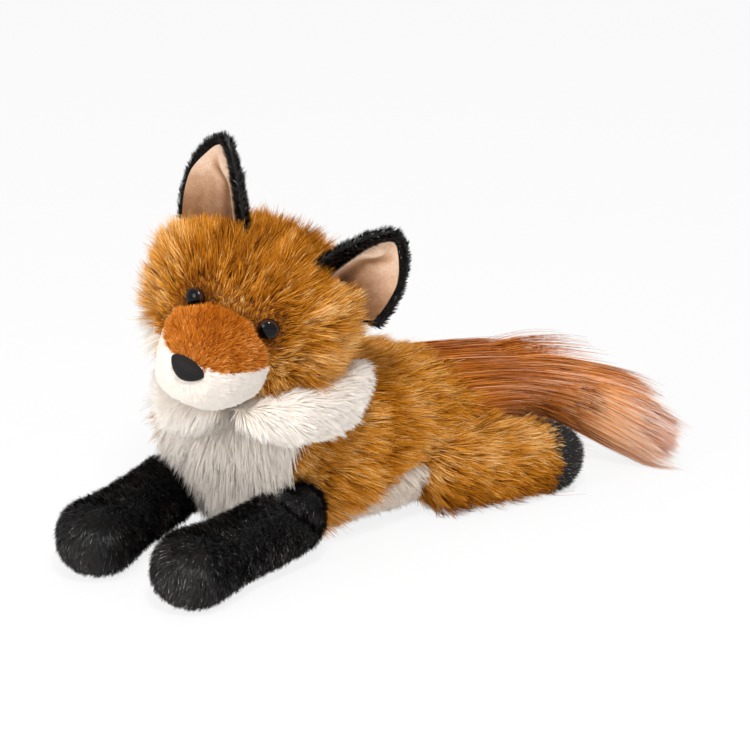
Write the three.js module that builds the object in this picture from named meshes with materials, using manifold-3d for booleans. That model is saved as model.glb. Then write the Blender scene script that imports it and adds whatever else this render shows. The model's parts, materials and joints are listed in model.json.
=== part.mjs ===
// A long-haired plush fox lying on its front, with its head turned and tipped to its left.
// Millimetres, +Z up. The fox looks along -Y, and its left side is +X.
// Each skin is a sewn shell. Its outer face stands at the middle of the pile, and a filled core
// of stuffing or pellets lies inside it.

import * as THREE from 'three';
import { mergeVertices } from 'three/addons/utils/BufferGeometryUtils.js';
import Module from 'manifold-3d';

const wasm = await Module();
wasm.setup();

// Fits and walls
const WALL = 4;           // backing cloth with the dense foot of the pile
const THIN_WALL = 3;      // the same on the paws, the muzzle and the feet
const SEAM = 0.5;         // gap between pieces that lie against each other
const TURN_ROOM = 2.2;    // gap round the plain form of a piece that turns

// Torso: x, y, z, half width, half height, from the chest to the rump. The undersides of the
// torso and the limbs reach 0.5 below the floor, which presses them flat.
const TORSO = [
  [-20, -276, 56, 30, 38],
  [-20, -256, 61, 50, 52],
  [-12, -228, 60.4, 55, 61],
  [-3, -190, 57.6, 54, 58.5],
  [1, -152, 51.9, 52, 53],
  [3, -120, 46.8, 50, 48],
  [5, -98, 43, 45, 43],
  [6, -79, 38, 31, 33],
];
const BIB = { right: -47, left: 33, backTo: -240, top: 100 };
// Side outline of the white belly, as y and z
const BELLY_LINE = [
  [-237, -5], [-216, 8], [-196, 24], [-176, 37], [-146, 37], [-104, 27], [-78, 14], [-62, -5],
];
const BELLY_REACH = 70;   // how far the belly panel may go to each side
const BELLY_PELLETS = { at: [2, -174, 14], halfSize: [20, 27, 12], bottom: 8 };
const NECK_OPENING = { at: [10, -238], radius: 33, from: 99, height: 60 };

// Head: where it sits, how far it turns to its left and tips over, and its stations, in its
// own frame, as x, y, z, half width, half depth
const HEAD_PLACE = { at: [12, -252, 155], yaw: 29, roll: 18 };
const HEAD = [
  [0, 2, -48, 30, 26],
  [0, 0, -28, 57, 47],
  [0, 0, -2, 63, 53],
  [0, 0, 26, 59, 50],
  [0, 2, 54, 32, 28],
];
const NECK_HOLE = { half: 24, top: -30 };
const MUZZLE = [
  [1, -20, -15, 33, 28],
  [0, -46, -16.5, 33.5, 30],
  [0, -66, -20.5, 28.5, 26.5],
  [0, -91, -22, 24, 22],
];
const LIP_LEVEL = -11;    // seam between the rust top of the muzzle and the white chin
// Cheek ruffs hang under the head, which tips without them
const RUFF = [
  [2, -46, -48, 11, 10],
  [26, -29, -54, 19, 16],
  [42, 4, -55, 19, 17],
  [52, 38, -45, 9, 9],
];
const EYE = {
  middle: 2.5, across: 22, forward: -48, up: 9.5, outward: 18, radius: 5.5, rim: 0.6, dome: 4.2, stem: 2, stemLength: 12,
};
const WASHER = { bore: 2.5, radius: 7.5, thickness: 1.6, depth: 5.5 };
const NOSE = { at: [-1.6, -89.5, -11.2], halfWidth: 9.2, halfDepth: 6.5, halfHeight: 6, topFlare: 0.4 };

// Ears: the curled leaves that they are cut as, where they stand on the head and how they lean
const EAR = {
  height: 48.5, halfWidth: 26.4, curl: 48, narrowing: 0.9, bluntness: 0.53, lining: 1.6, back: 5, rim: 3, topCut: 0.985,
};
const EAR_PIT = { beside: 8, low: [-22, -12], high: [18, 24] };   // room in the stuffing
const EAR_PLACES = {
  left: { at: [43.5, 5.5, 23], splay: 26.5, outward: 29 },
  right: { at: [-30, 5.5, 34.5], splay: -21, outward: -29.5 },
};

// Forelegs, in a frame at the shoulder: forward is -Y
const FORELEG = [
  [0, 20, 28, 17, 17],
  [0, 0, 28, 20, 21.5],
  [0, -28, 24.5, 19.5, 22],
  [0, -58, 21.5, 22, 22.5],
  [0, -86, 22, 25, 23.5],
  [0, -108, 20, 19.5, 18.5],
];
const FORELEG_PLACES = {
  left: { at: [34, -241.5, 0], yaw: 4 },
  right: { at: [-54, -256, 0], yaw: 16 },
};
const PAW_PELLETS_FROM = -64;
const SHOULDER_OPENING = { low: [-13, -9, 30], high: [13, 17, 60] };

// Hind legs, in a frame at the hip: back is +Y
const HIND_LEG = [
  [0, -30, 27, 16, 24],
  [0, -4, 29.8, 25, 31],
  [0, 28, 27.7, 25, 29],
  [0, 54, 23.7, 21.5, 25],
  [0, 78, 21.4, 19.5, 22.5],
  [0, 97, 21, 15, 18],
];
const HIND_PLACES = {
  left: { at: [37, -128, 0], yaw: -16 },
  right: { at: [-31, -128, 0], yaw: 16 },
};
const HIP_OPENING = { inner: 10, outer: 40, low: [-14, 16], high: [12, 44] };
const FOOT_FROM = 66;
const FOOT_PELLETS_FROM = 72;

// Tail: x, y, z, half width, half height, from the root to the tip
const TAIL = [
  [6, -104, 68, 14, 13],
  [12, -80, 69, 18, 18],
  [22, -52, 62, 21, 22],
  [34, -26, 52, 23, 26],
  [47, -4, 40, 26, 28],
  [59, 9, 29.5, 24, 26],
  [73, 18, 22, 19, 20],
  [90, 25, 13, 8, 10],
];
const TAIL_TIP = { at: [66, 14, 25], yaw: 33 };
const TAIL_ROOT_OPEN = -94;

// Turning axes and the turns in degrees that the neighbours leave room for
const UP = new THREE.Vector3(0, 0, 1);
const DEEP = new THREE.Vector3(0, 1, 0);
const ACROSS = new THREE.Vector3(1, 0, 0);
const TAIL_PIVOT = new THREE.Vector3(9, -93, 66);
const NECK_TURNS = [-12, 0, 12];
const EAR_TURNS = [-16, 0, 16];
const FORELEG_TURNS = { left: [-3, 15], right: [-15, 3] };
const HIND_TURNS = { left: [-18, 0], right: [0, 18] };
const TAIL_TURNS = [-3, 11, 25];

// Detail
const ROUND_SIDES = 14;
const DOME_RINGS = 4;
const FULLNESS = 2.4;     // 2 is an oval section, and more is a squarer one
const FAR = 400;          // past every piece

// Meshes and solids

// Flips the faces of a closed geometry where they point in.
function facingOut(geometry) {
  const at = geometry.getAttribute('position');
  const order = geometry.index.array;
  const a = new THREE.Vector3();
  const b = new THREE.Vector3();
  const c = new THREE.Vector3();
  let volume = 0;
  for (let i = 0; i < order.length; i += 3) {
    a.fromBufferAttribute(at, order[i]);
    b.fromBufferAttribute(at, order[i + 1]);
    c.fromBufferAttribute(at, order[i + 2]);
    volume += a.dot(b.cross(c));
  }
  if (volume < 0) {
    for (let i = 0; i < order.length; i += 3) [order[i], order[i + 1]] = [order[i + 1], order[i]];
  }
  return geometry;
}

// Keeps only the merged corners of a geometry.
function welded(geometry) {
  const bare = new THREE.BufferGeometry();
  bare.setAttribute('position', geometry.getAttribute('position').clone());
  if (geometry.index) bare.setIndex(geometry.index.clone());
  return facingOut(mergeVertices(bare, 1e-3));
}

function solidFrom(geometry) {
  const bare = welded(geometry);
  return new wasm.Manifold(new wasm.Mesh({
    numProp: 3,
    vertProperties: Float32Array.from(bare.getAttribute('position').array),
    triVerts: Uint32Array.from(bare.index.array),
  }));
}

function geometryFrom(solid) {
  const mesh = solid.getMesh();
  const geometry = new THREE.BufferGeometry();
  const corners = new Float32Array(mesh.numVert * 3);
  for (let i = 0; i < mesh.numVert; i += 1) {
    for (let axis = 0; axis < 3; axis += 1) {
      corners[i * 3 + axis] = mesh.vertProperties[i * mesh.numProp + axis];
    }
  }
  geometry.setAttribute('position', new THREE.BufferAttribute(corners, 3));
  geometry.setIndex(new THREE.BufferAttribute(Uint32Array.from(mesh.triVerts), 1));
  return geometry;
}

// The same form with every face moved out by a distance, or in where it is negative.
function grown(geometry, distance) {
  const form = welded(geometry);
  form.computeVertexNormals();
  const at = form.getAttribute('position');
  const out = form.getAttribute('normal');
  for (let i = 0; i < at.count; i += 1) {
    at.setXYZ(
      i,
      at.getX(i) + distance * out.getX(i),
      at.getY(i) + distance * out.getY(i),
      at.getZ(i) + distance * out.getZ(i),
    );
  }
  form.deleteAttribute('normal');
  return form;
}

function placed(geometry, matrix) {
  return geometry.clone().applyMatrix4(matrix);
}

// The matrix that turns things by some degrees about an axis through a point.
function turnAbout(point, axis, degrees) {
  const back = new THREE.Matrix4().makeTranslation(-point.x, -point.y, -point.z);
  const turn = new THREE.Matrix4().makeRotationAxis(axis, THREE.MathUtils.degToRad(degrees));
  const forth = new THREE.Matrix4().makeTranslation(point.x, point.y, point.z);
  return forth.multiply(turn).multiply(back);
}

// The space that some forms take up while they turn about an axis, with room round it.
function sweptSpace(forms, point, axis, turns, room = TURN_ROOM) {
  let space = null;
  for (const form of forms) {
    const roomy = grown(form, room);
    for (const degrees of turns) {
      const turned = solidFrom(placed(roomy, turnAbout(point, axis, degrees)));
      space = space ? space.add(turned) : turned;
    }
  }
  return space;
}

// A box between two corners.
function block(low, high) {
  const size = high.map((value, i) => value - low[i]);
  const box = new THREE.BoxGeometry(...size);
  box.translate(...high.map((value, i) => (value + low[i]) / 2));
  return box;
}

// A swelling and tapering form. A station holds its centre and its two half sizes. Oval rings
// stand square to the smooth line through the stations, with their second half size along
// upright, and the first and last spans round off to a point.
function swellingForm(stations, { around, spanRings = 1, noseRings = 3, upright = UP }) {
  const line = new THREE.CatmullRomCurve3(stations.map(([x, y, z]) => new THREE.Vector3(x, y, z)));
  const girth = new THREE.CatmullRomCurve3(stations.map(([, , , a, b]) => new THREE.Vector3(a, b, 0)));
  const spans = stations.length - 1;
  const rings = [];
  for (let i = 1; i <= noseRings; i += 1) {
    const angle = (i / noseRings) * Math.PI / 2;
    rings.push({ place: 1 - Math.cos(angle), round: Math.sin(angle) });
  }
  for (let i = 1; i < (spans - 2) * spanRings; i += 1) {
    rings.push({ place: 1 + i / spanRings, round: 1 });
  }
  for (let i = noseRings; i >= 1; i -= 1) {
    const angle = (i / noseRings) * Math.PI / 2;
    rings.push({ place: spans - 1 + Math.cos(angle), round: Math.sin(angle) });
  }
  const corners = [line.getPoint(0)];
  for (const { place, round } of rings) {
    const t = place / spans;
    const centre = line.getPoint(t);
    const along = line.getTangent(t);
    const half = girth.getPoint(t);
    const up = upright.clone().addScaledVector(along, -upright.dot(along)).normalize();
    const side = new THREE.Vector3().crossVectors(up, along).normalize();
    for (let i = 0; i < around; i += 1) {
      const angle = (i / around) * Math.PI * 2;
      const across = Math.sign(Math.cos(angle)) * Math.abs(Math.cos(angle)) ** (2 / FULLNESS);
      const above = Math.sign(Math.sin(angle)) * Math.abs(Math.sin(angle)) ** (2 / FULLNESS);
      corners.push(centre.clone()
        .addScaledVector(side, across * half.x * round)
        .addScaledVector(up, above * half.y * round));
    }
  }
  corners.push(line.getPoint(1));
  const faces = [];
  const last = corners.length - 1;
  const ringStart = (ring) => 1 + ring * around;
  for (let i = 0; i < around; i += 1) {
    const next = (i + 1) % around;
    faces.push(0, ringStart(0) + next, ringStart(0) + i);
    faces.push(last, ringStart(rings.length - 1) + i, ringStart(rings.length - 1) + next);
    for (let ring = 0; ring < rings.length - 1; ring += 1) {
      const a = ringStart(ring) + i;
      const b = ringStart(ring) + next;
      const c = ringStart(ring + 1) + next;
      const d = ringStart(ring + 1) + i;
      faces.push(a, b, c, a, c, d);
    }
  }
  const geometry = new THREE.BufferGeometry();
  geometry.setAttribute('position', new THREE.Float32BufferAttribute(corners.flatMap((p) => p.toArray()), 3));
  geometry.setIndex(faces);
  return facingOut(geometry);
}

// Colours and finishes
const FINISHES = {
  golden: { color: '#a9651f', roughness: 0.85 },
  rust: { color: '#a5521d', roughness: 0.8 },
  white: { color: '#e9e4dc', roughness: 0.9 },
  black: { color: '#141212', roughness: 0.75 },
  suede: { color: '#d8b89c', roughness: 0.95 },
  eye: { color: '#0b0706', roughness: 0.08 },
  plastic: { color: '#d9d9d6', roughness: 0.5 },
  velour: { color: '#17161a', roughness: 0.9 },
  stuffing: { color: '#eeece6', roughness: 1 },
  pellets: { color: '#cfc7b8', roughness: 0.9 },
};

function piece(name, solid, finish) {
  const geometry = geometryFrom(solid).toNonIndexed();
  geometry.computeVertexNormals();
  const material = new THREE.MeshStandardMaterial({ ...FINISHES[finish], metalness: 0 });
  const mesh = new THREE.Mesh(geometry, material);
  mesh.name = name;
  return mesh;
}

// A frame at a place, turned about the upright by yaw and then tipped over by roll.
function frameAt({ at, yaw = 0, roll = 0 }) {
  const frame = new THREE.Group();
  frame.position.set(...at);
  frame.rotation.set(0, THREE.MathUtils.degToRad(roll), THREE.MathUtils.degToRad(yaw), 'ZYX');
  frame.updateMatrix();
  return frame;
}

// A sewn skin: the form less its plainer form drawn in by the wall.
function skinOf(form, plain, wall) {
  return solidFrom(form).subtract(solidFrom(grown(plain, -wall)));
}

// The filling that lies inside a skin.
function coreOf(plain, wall) {
  return solidFrom(grown(plain, -wall - SEAM));
}

// Everything on one side of a level: an axis, where it starts and which way it goes.
function beyond(axis, from, way) {
  const low = [-FAR, -FAR, -FAR];
  const high = [FAR, FAR, FAR];
  if (way > 0) low[axis] = from;
  else high[axis] = from;
  return block(low, high);
}

const X = 0;
const Y = 1;
const Z = 2;
const WAYS = { left: 1, right: -1 };
const floor = solidFrom(beyond(Z, 0, -1));

function mirrored(stations, way) {
  return stations.map(([x, ...rest]) => [x * way, ...rest]);
}

// Forms, each in its own frame, and plainer ones for what lies hidden or has to be kept clear
const torsoForm = swellingForm(TORSO, { around: 20 });
const headForm = swellingForm(HEAD, { around: 20, spanRings: 2, upright: DEEP });
const muzzleForm = swellingForm(MUZZLE, { around: 16, spanRings: 2 });
const forelegForm = swellingForm(FORELEG, { around: 14 });
const hindLegForm = swellingForm(HIND_LEG, { around: 14 });
const tailForm = swellingForm(TAIL, { around: 14 });
const PLAIN = { around: 10 };
const plainTorso = swellingForm(TORSO, { around: 14 });
const plainHead = swellingForm(HEAD, { around: 14, upright: DEEP });
const plainMuzzle = swellingForm(MUZZLE, PLAIN);
const plainForeleg = swellingForm(FORELEG, PLAIN);
const plainHindLeg = swellingForm(HIND_LEG, PLAIN);
const plainTail = swellingForm(TAIL, PLAIN);

// Frames
const neckFrame = frameAt({ at: HEAD_PLACE.at, yaw: HEAD_PLACE.yaw });
const headFrame = frameAt({ at: [0, 0, 0], roll: HEAD_PLACE.roll });
neckFrame.add(headFrame);
const headToFox = neckFrame.matrix.clone().multiply(headFrame.matrix);

function ruffForm(way, detail = { around: 12, spanRings: 2 }) {
  return swellingForm(mirrored(RUFF, way), detail);
}

// Eye: a dome on a stem, along +Z with the cloth at its foot
function eyeForm() {
  const profile = [[0, -EYE.stemLength], [EYE.stem, -EYE.stemLength], [EYE.stem, 0], [EYE.radius, 0]];
  for (let i = 1; i <= DOME_RINGS; i += 1) {
    const angle = (i / DOME_RINGS) * Math.PI / 2;
    profile.push([EYE.radius * Math.cos(angle), EYE.rim + (EYE.dome - EYE.rim) * Math.sin(angle)]);
  }
  profile[profile.length - 1][0] = 0;
  const dome = new THREE.LatheGeometry(profile.map(([r, z]) => new THREE.Vector2(r, z)), ROUND_SIDES);
  return dome.rotateX(Math.PI / 2);
}

// Washer: the ring pressed on to the stem behind the cloth
function washerForm() {
  const low = -WASHER.depth - WASHER.thickness;
  const high = -WASHER.depth;
  const profile = [
    [WASHER.bore, low], [WASHER.radius, low], [WASHER.radius, high], [WASHER.bore, high], [WASHER.bore, low],
  ];
  const ring = new THREE.LatheGeometry(profile.map(([r, z]) => new THREE.Vector2(r, z)), ROUND_SIDES);
  return ring.rotateX(Math.PI / 2);
}

// Turns a form that points along +Z to the eye's place, looking forward and outward.
function atEye(form, way) {
  const outward = THREE.MathUtils.degToRad(EYE.outward) * way;
  return form.clone()
    .rotateX(Math.PI / 2)
    .rotateZ(outward)
    .translate(EYE.middle + EYE.across * way, EYE.forward, EYE.up);
}

// Nose: a padded pillow, wider at the top
function noseForm() {
  const pillow = new THREE.SphereGeometry(1, ROUND_SIDES, 9);
  const at = pillow.getAttribute('position');
  for (let i = 0; i < at.count; i += 1) {
    const flare = 1 + NOSE.topFlare * at.getZ(i);
    at.setXYZ(
      i,
      NOSE.at[X] + at.getX(i) * NOSE.halfWidth * flare,
      NOSE.at[Y] + at.getY(i) * NOSE.halfDepth,
      NOSE.at[Z] + at.getZ(i) * NOSE.halfHeight,
    );
  }
  return pillow;
}

// Ear leaf: a rounded triangle curled round the upright and open to the front, between two
// distances behind its face.
function earLeaf({ halfWidth, height, from, to }, across = 8, up = 6) {
  const curl = THREE.MathUtils.degToRad(EAR.curl);
  const corners = [];
  for (const behind of [from, to]) {
    for (let row = 0; row <= up; row += 1) {
      const rise = EAR.topCut * row / up;
      const half = halfWidth * Math.cos((Math.PI / 2) * rise ** EAR.narrowing) ** EAR.bluntness;
      const bend = half / Math.sin(curl);
      for (let i = 0; i <= across; i += 1) {
        const angle = curl * (2 * i / across - 1);
        corners.push(
          (bend + behind) * Math.sin(angle),
          (bend + behind) * Math.cos(angle) - bend,
          height * rise,
        );
      }
    }
  }
  const wide = across + 1;
  const sheet = wide * (up + 1);
  const faces = [];
  const quad = (a, b, c, d) => faces.push(a, b, c, a, c, d);
  for (let row = 0; row < up; row += 1) {
    for (let i = 0; i < across; i += 1) {
      const a = row * wide + i;
      quad(a, a + 1, a + 1 + wide, a + wide);
      quad(sheet + a, sheet + a + wide, sheet + a + 1 + wide, sheet + a + 1);
    }
    const start = row * wide;
    const end = start + across;
    quad(start, start + wide, sheet + start + wide, sheet + start);
    quad(end, sheet + end, sheet + end + wide, end + wide);
  }
  for (let i = 0; i < across; i += 1) {
    const top = up * wide + i;
    quad(i, sheet + i, sheet + i + 1, i + 1);
    quad(top, top + 1, sheet + top + 1, sheet + top);
  }
  const geometry = new THREE.BufferGeometry();
  geometry.setAttribute('position', new THREE.Float32BufferAttribute(corners, 3));
  geometry.setIndex(faces);
  return facingOut(geometry);
}

const backLeaf = {
  halfWidth: EAR.halfWidth, height: EAR.height, from: EAR.lining + SEAM, to: EAR.lining + SEAM + EAR.back,
};
const earBackForm = earLeaf(backLeaf);
const plainEar = earLeaf({ ...backLeaf, from: 0 }, 6, 3);
const earLiningForm = earLeaf({
  halfWidth: EAR.halfWidth - EAR.rim, height: EAR.height - EAR.rim, from: 0, to: EAR.lining,
});

// An ear leans outward about the head's depth and turns its opening outward.
function earFrame({ at, splay, outward }) {
  const frame = new THREE.Group();
  frame.position.set(...at);
  frame.rotation.set(0, THREE.MathUtils.degToRad(splay), THREE.MathUtils.degToRad(outward), 'YZX');
  frame.updateMatrix();
  return frame;
}

// Spaces that turning pieces need in their neighbours
const neckPoint = new THREE.Vector3(...HEAD_PLACE.at);
const ruffToFox = neckFrame.matrix;
const headForms = [placed(plainHead, headToFox), placed(plainMuzzle, headToFox)]
  .concat(Object.values(WAYS).map((way) => placed(ruffForm(way, { around: 8, spanRings: 2 }), ruffToFox)));
const headSpace = sweptSpace(headForms, neckPoint, UP, NECK_TURNS);
const tailSpace = sweptSpace([plainTail], TAIL_PIVOT, UP, TAIL_TURNS);

function limbSpace(form, place, turns) {
  const frame = frameAt(place);
  return sweptSpace([placed(form, frame.matrix)], frame.position, UP, turns);
}

const limbSpaces = Object.keys(WAYS).flatMap((side) => [
  limbSpace(plainForeleg, FORELEG_PLACES[side], FORELEG_TURNS[side]),
  limbSpace(plainHindLeg, HIND_PLACES[side], HIND_TURNS[side]),
]);

function clearOf(solid, spaces) {
  return spaces.reduce((rest, space) => rest.subtract(space), solid);
}

// The parts of the torso's skin that are white, with some room round them
function bibRegion(room) {
  return block([BIB.right - room, -FAR, -FAR], [BIB.left + room, BIB.backTo + room, BIB.top + room]);
}

function bellyRegion(room) {
  const middle = (BELLY_LINE[0][0] + BELLY_LINE[BELLY_LINE.length - 1][0]) / 2;
  const outline = new THREE.Shape(BELLY_LINE.map(
    ([y, z]) => new THREE.Vector2(y + room * Math.sign(y - middle), z + room),
  ));
  return new THREE.ExtrudeGeometry(outline, { depth: 2 * BELLY_REACH, bevelEnabled: false })
    .rotateZ(Math.PI / 2)
    .rotateY(Math.PI / 2)
    .translate(-BELLY_REACH, 0, 0);
}

// Torso: golden back, white chest and belly over one core with a bag of pellets
function torsoPieces() {
  const spaces = [floor, headSpace, tailSpace, ...limbSpaces];
  const { radius, height, from } = NECK_OPENING;
  const opening = new THREE.CylinderGeometry(radius, radius, height, ROUND_SIDES)
    .rotateX(Math.PI / 2)
    .translate(...NECK_OPENING.at, from + height / 2);
  const skin = clearOf(skinOf(torsoForm, plainTorso, WALL), [...spaces, solidFrom(opening)]);
  const bib = solidFrom(bibRegion(0));
  const belly = solidFrom(bellyRegion(0));
  const bag = new THREE.SphereGeometry(1, 12, 8)
    .scale(...BELLY_PELLETS.halfSize)
    .translate(...BELLY_PELLETS.at);
  const core = clearOf(coreOf(plainTorso, WALL), spaces);
  const bagSpace = solidFrom(grown(bag, SEAM));
  const below = solidFrom(beyond(Z, BELLY_PELLETS.bottom, -1));
  return [
    piece('back_skin', clearOf(skin, [solidFrom(bibRegion(SEAM)), solidFrom(bellyRegion(SEAM))]), 'golden'),
    piece('chest_bib', skin.intersect(bib), 'white'),
    piece('belly_panel', skin.intersect(belly).subtract(solidFrom(bibRegion(SEAM))), 'white'),
    piece('body_stuffing', core.subtract(bagSpace), 'stuffing'),
    piece('belly_pellet_bag', solidFrom(bag).subtract(below), 'pellets'),
  ];
}

// Head: golden skin over stuffing, with the neck open below
function headPieces() {
  const { half, top } = NECK_HOLE;
  const neckHole = block([-half, -half, -FAR], [half, half, top]);
  const earSpaces = Object.values(EAR_PLACES).map((place) => {
    const ear = earFrame(place);
    const across = ACROSS.clone().applyQuaternion(ear.quaternion);
    return sweptSpace([placed(plainEar, ear.matrix)], ear.position, across, EAR_TURNS);
  });
  const eyes = Object.values(WAYS).map((way) => solidFrom(atEye(grown(eyeForm(), SEAM), way)));
  const washerRoom = new THREE.CylinderGeometry(
    WASHER.radius + SEAM,
    WASHER.radius + SEAM,
    WASHER.thickness + 2 * SEAM,
    ROUND_SIDES,
  ).rotateX(Math.PI / 2).translate(0, 0, -WASHER.depth - WASHER.thickness / 2);
  const washers = Object.values(WAYS).map((way) => solidFrom(atEye(washerRoom, way)));
  const skin = clearOf(skinOf(headForm, plainHead, WALL), [solidFrom(neckHole), ...earSpaces, ...eyes]);
  const earPits = Object.values(EAR_PLACES).map((place) => {
    const reach = EAR.halfWidth + EAR_PIT.beside;
    const pit = block([-reach, ...EAR_PIT.low], [reach, ...EAR_PIT.high]);
    return solidFrom(placed(pit, earFrame(place).matrix));
  });
  const core = clearOf(coreOf(plainHead, WALL), [...earPits, ...eyes, ...washers]);
  return [
    piece('head_skin', skin, 'golden'),
    piece('head_stuffing', core, 'stuffing'),
  ];
}

// Muzzle: rust top and white chin over one core, sewn on to the front of the head
function muzzlePieces() {
  const headRoom = solidFrom(grown(headForm, SEAM));
  const eyeRooms = Object.values(WAYS).map((way) => solidFrom(atEye(grown(eyeForm(), SEAM), way)));
  const skin = clearOf(skinOf(muzzleForm, plainMuzzle, THIN_WALL), [headRoom, ...eyeRooms]);
  const core = clearOf(coreOf(plainMuzzle, THIN_WALL), [headRoom, ...eyeRooms]);
  return [
    piece('muzzle_top', skin.intersect(solidFrom(beyond(Z, LIP_LEVEL + SEAM / 2, 1))), 'rust'),
    piece('muzzle_chin', skin.intersect(solidFrom(beyond(Z, LIP_LEVEL - SEAM / 2, -1))), 'white'),
    piece('muzzle_stuffing', core, 'stuffing'),
    piece('nose', solidFrom(noseForm()).subtract(solidFrom(grown(muzzleForm, SEAM))), 'velour'),
  ];
}

function eyePieces(side) {
  const way = WAYS[side];
  return [
    piece(`eye_${side}`, solidFrom(atEye(eyeForm(), way)), 'eye'),
    piece(`eye_washer_${side}`, solidFrom(atEye(washerForm(), way)), 'plastic'),
  ];
}

// Cheek ruff: the white pile pad below the cheek
function ruffPiece(side) {
  const way = WAYS[side];
  const tip = headFrame.matrix;
  const rooms = [headForm, muzzleForm].map((form) => solidFrom(placed(grown(form, SEAM), tip)));
  const half = solidFrom(beyond(X, SEAM / 2 * way, -way));
  return piece(`cheek_ruff_${side}`, clearOf(solidFrom(ruffForm(way)), [...rooms, half]), 'white');
}

function earPieces(side) {
  const frame = earFrame(EAR_PLACES[side]);
  frame.add(piece(`ear_${side}_back`, solidFrom(earBackForm), 'black'));
  frame.add(piece(`ear_${side}_lining`, solidFrom(earLiningForm), 'suede'));
  return frame;
}

// Foreleg: a black skin open at the top of the shoulder, over stuffing with pellets in the paw
function foreleg(side) {
  const frame = frameAt(FORELEG_PLACES[side]);
  const opening = block(SHOULDER_OPENING.low, SHOULDER_OPENING.high);
  const core = coreOf(plainForeleg, THIN_WALL).subtract(floor);
  const skin = clearOf(skinOf(forelegForm, plainForeleg, THIN_WALL), [floor, solidFrom(opening)]);
  const paw = solidFrom(beyond(Y, PAW_PELLETS_FROM - SEAM / 2, -1));
  const pawRoom = solidFrom(beyond(Y, PAW_PELLETS_FROM + SEAM / 2, -1));
  frame.add(piece(`foreleg_${side}_skin`, skin, 'black'));
  frame.add(piece(`foreleg_${side}_stuffing`, core.subtract(pawRoom), 'stuffing'));
  frame.add(piece(`paw_${side}_pellets`, core.intersect(paw), 'pellets'));
  return frame;
}

// Hind leg: a golden thigh with a hip opening, and a black foot that holds pellets
function hindLeg(side) {
  const frame = frameAt(HIND_PLACES[side]);
  const { inner, outer, low, high } = HIP_OPENING;
  const [from, to] = side === 'right' ? [inner, outer] : [-outer, -inner];
  const hip = block([from, ...low], [to, ...high]);
  const tailRoom = solidFrom(placed(geometryFrom(tailSpace), frame.matrix.clone().invert()));
  const skin = clearOf(skinOf(hindLegForm, plainHindLeg, WALL), [floor, tailRoom]);
  const core = clearOf(coreOf(plainHindLeg, WALL), [floor, tailRoom]);
  const behind = (from) => solidFrom(beyond(Y, from, 1));
  const thigh = clearOf(skin, [behind(FOOT_FROM - SEAM / 2), solidFrom(hip)]);
  frame.add(piece(`thigh_${side}_skin`, thigh, 'golden'));
  frame.add(piece(`foot_${side}_skin`, skin.intersect(behind(FOOT_FROM + SEAM / 2)), 'black'));
  frame.add(piece(`thigh_${side}_stuffing`, core.subtract(behind(FOOT_PELLETS_FROM - SEAM / 2)), 'stuffing'));
  frame.add(piece(`foot_${side}_pellets`, core.intersect(behind(FOOT_PELLETS_FROM + SEAM / 2)), 'pellets'));
  return frame;
}

// Tail: a rust brush with a white tip, open at the root where it is sewn to the rump
function tailPieces() {
  const tipFrame = frameAt(TAIL_TIP);
  const behind = (from) => solidFrom(placed(beyond(X, from, 1), tipFrame.matrix));
  const skin = skinOf(tailForm, plainTail, WALL).subtract(floor);
  const root = solidFrom(beyond(Y, TAIL_ROOT_OPEN, -1));
  return [
    piece('tail_skin', clearOf(skin, [behind(-SEAM / 2), root]), 'rust'),
    piece('tail_tip', skin.intersect(behind(SEAM / 2)), 'white'),
    piece('tail_stuffing', coreOf(plainTail, WALL).subtract(floor), 'stuffing'),
  ];
}

// Assembly
const fox = new THREE.Group();
fox.add(...torsoPieces(), ...tailPieces(), neckFrame);
headFrame.add(...headPieces(), ...muzzlePieces());
for (const side of Object.keys(WAYS)) {
  headFrame.add(...eyePieces(side), earPieces(side));
  neckFrame.add(ruffPiece(side));
  fox.add(foreleg(side), hindLeg(side));
}

// The origin is under the middle of the fox, on the floor.
fox.updateMatrixWorld(true);
const extent = new THREE.Box3().setFromObject(fox, true);
const middle = extent.getCenter(new THREE.Vector3());
fox.position.set(-middle.x, -middle.y, -extent.min.z);

export default fox;
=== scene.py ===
import json
import math

import bmesh
import bpy
import numpy as np
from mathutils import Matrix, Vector
from mathutils.bvhtree import BVHTree
from mathutils.kdtree import KDTree


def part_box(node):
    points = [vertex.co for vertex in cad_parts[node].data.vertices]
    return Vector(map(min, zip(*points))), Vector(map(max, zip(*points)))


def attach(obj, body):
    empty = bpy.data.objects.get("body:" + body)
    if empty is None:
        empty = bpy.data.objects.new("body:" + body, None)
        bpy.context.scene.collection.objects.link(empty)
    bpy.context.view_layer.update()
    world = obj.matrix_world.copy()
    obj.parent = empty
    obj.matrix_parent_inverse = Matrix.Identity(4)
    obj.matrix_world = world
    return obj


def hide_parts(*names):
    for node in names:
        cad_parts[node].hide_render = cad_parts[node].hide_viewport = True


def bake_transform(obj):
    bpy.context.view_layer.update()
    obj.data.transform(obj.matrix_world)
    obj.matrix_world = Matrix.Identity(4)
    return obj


# A long-haired plush fox: sewn backings with rooted pile, over fibre and pellet filling.
# Metres, +Z up. The fox looks along -Y, and its left side is +X.
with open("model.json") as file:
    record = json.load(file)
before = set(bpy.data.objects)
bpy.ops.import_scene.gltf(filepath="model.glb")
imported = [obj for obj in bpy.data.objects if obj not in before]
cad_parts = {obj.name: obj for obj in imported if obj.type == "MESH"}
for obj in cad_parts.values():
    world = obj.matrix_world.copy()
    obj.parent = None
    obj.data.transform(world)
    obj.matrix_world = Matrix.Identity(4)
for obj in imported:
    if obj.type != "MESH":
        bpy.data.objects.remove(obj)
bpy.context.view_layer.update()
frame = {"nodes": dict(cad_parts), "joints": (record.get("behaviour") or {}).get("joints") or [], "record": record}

MM = 0.001
UP = np.array([0.0, 0.0, 1.0])
WAYS = {"left": 1, "right": -1}  # the way that each side lies from the middle
SIDES = tuple(WAYS)
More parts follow.
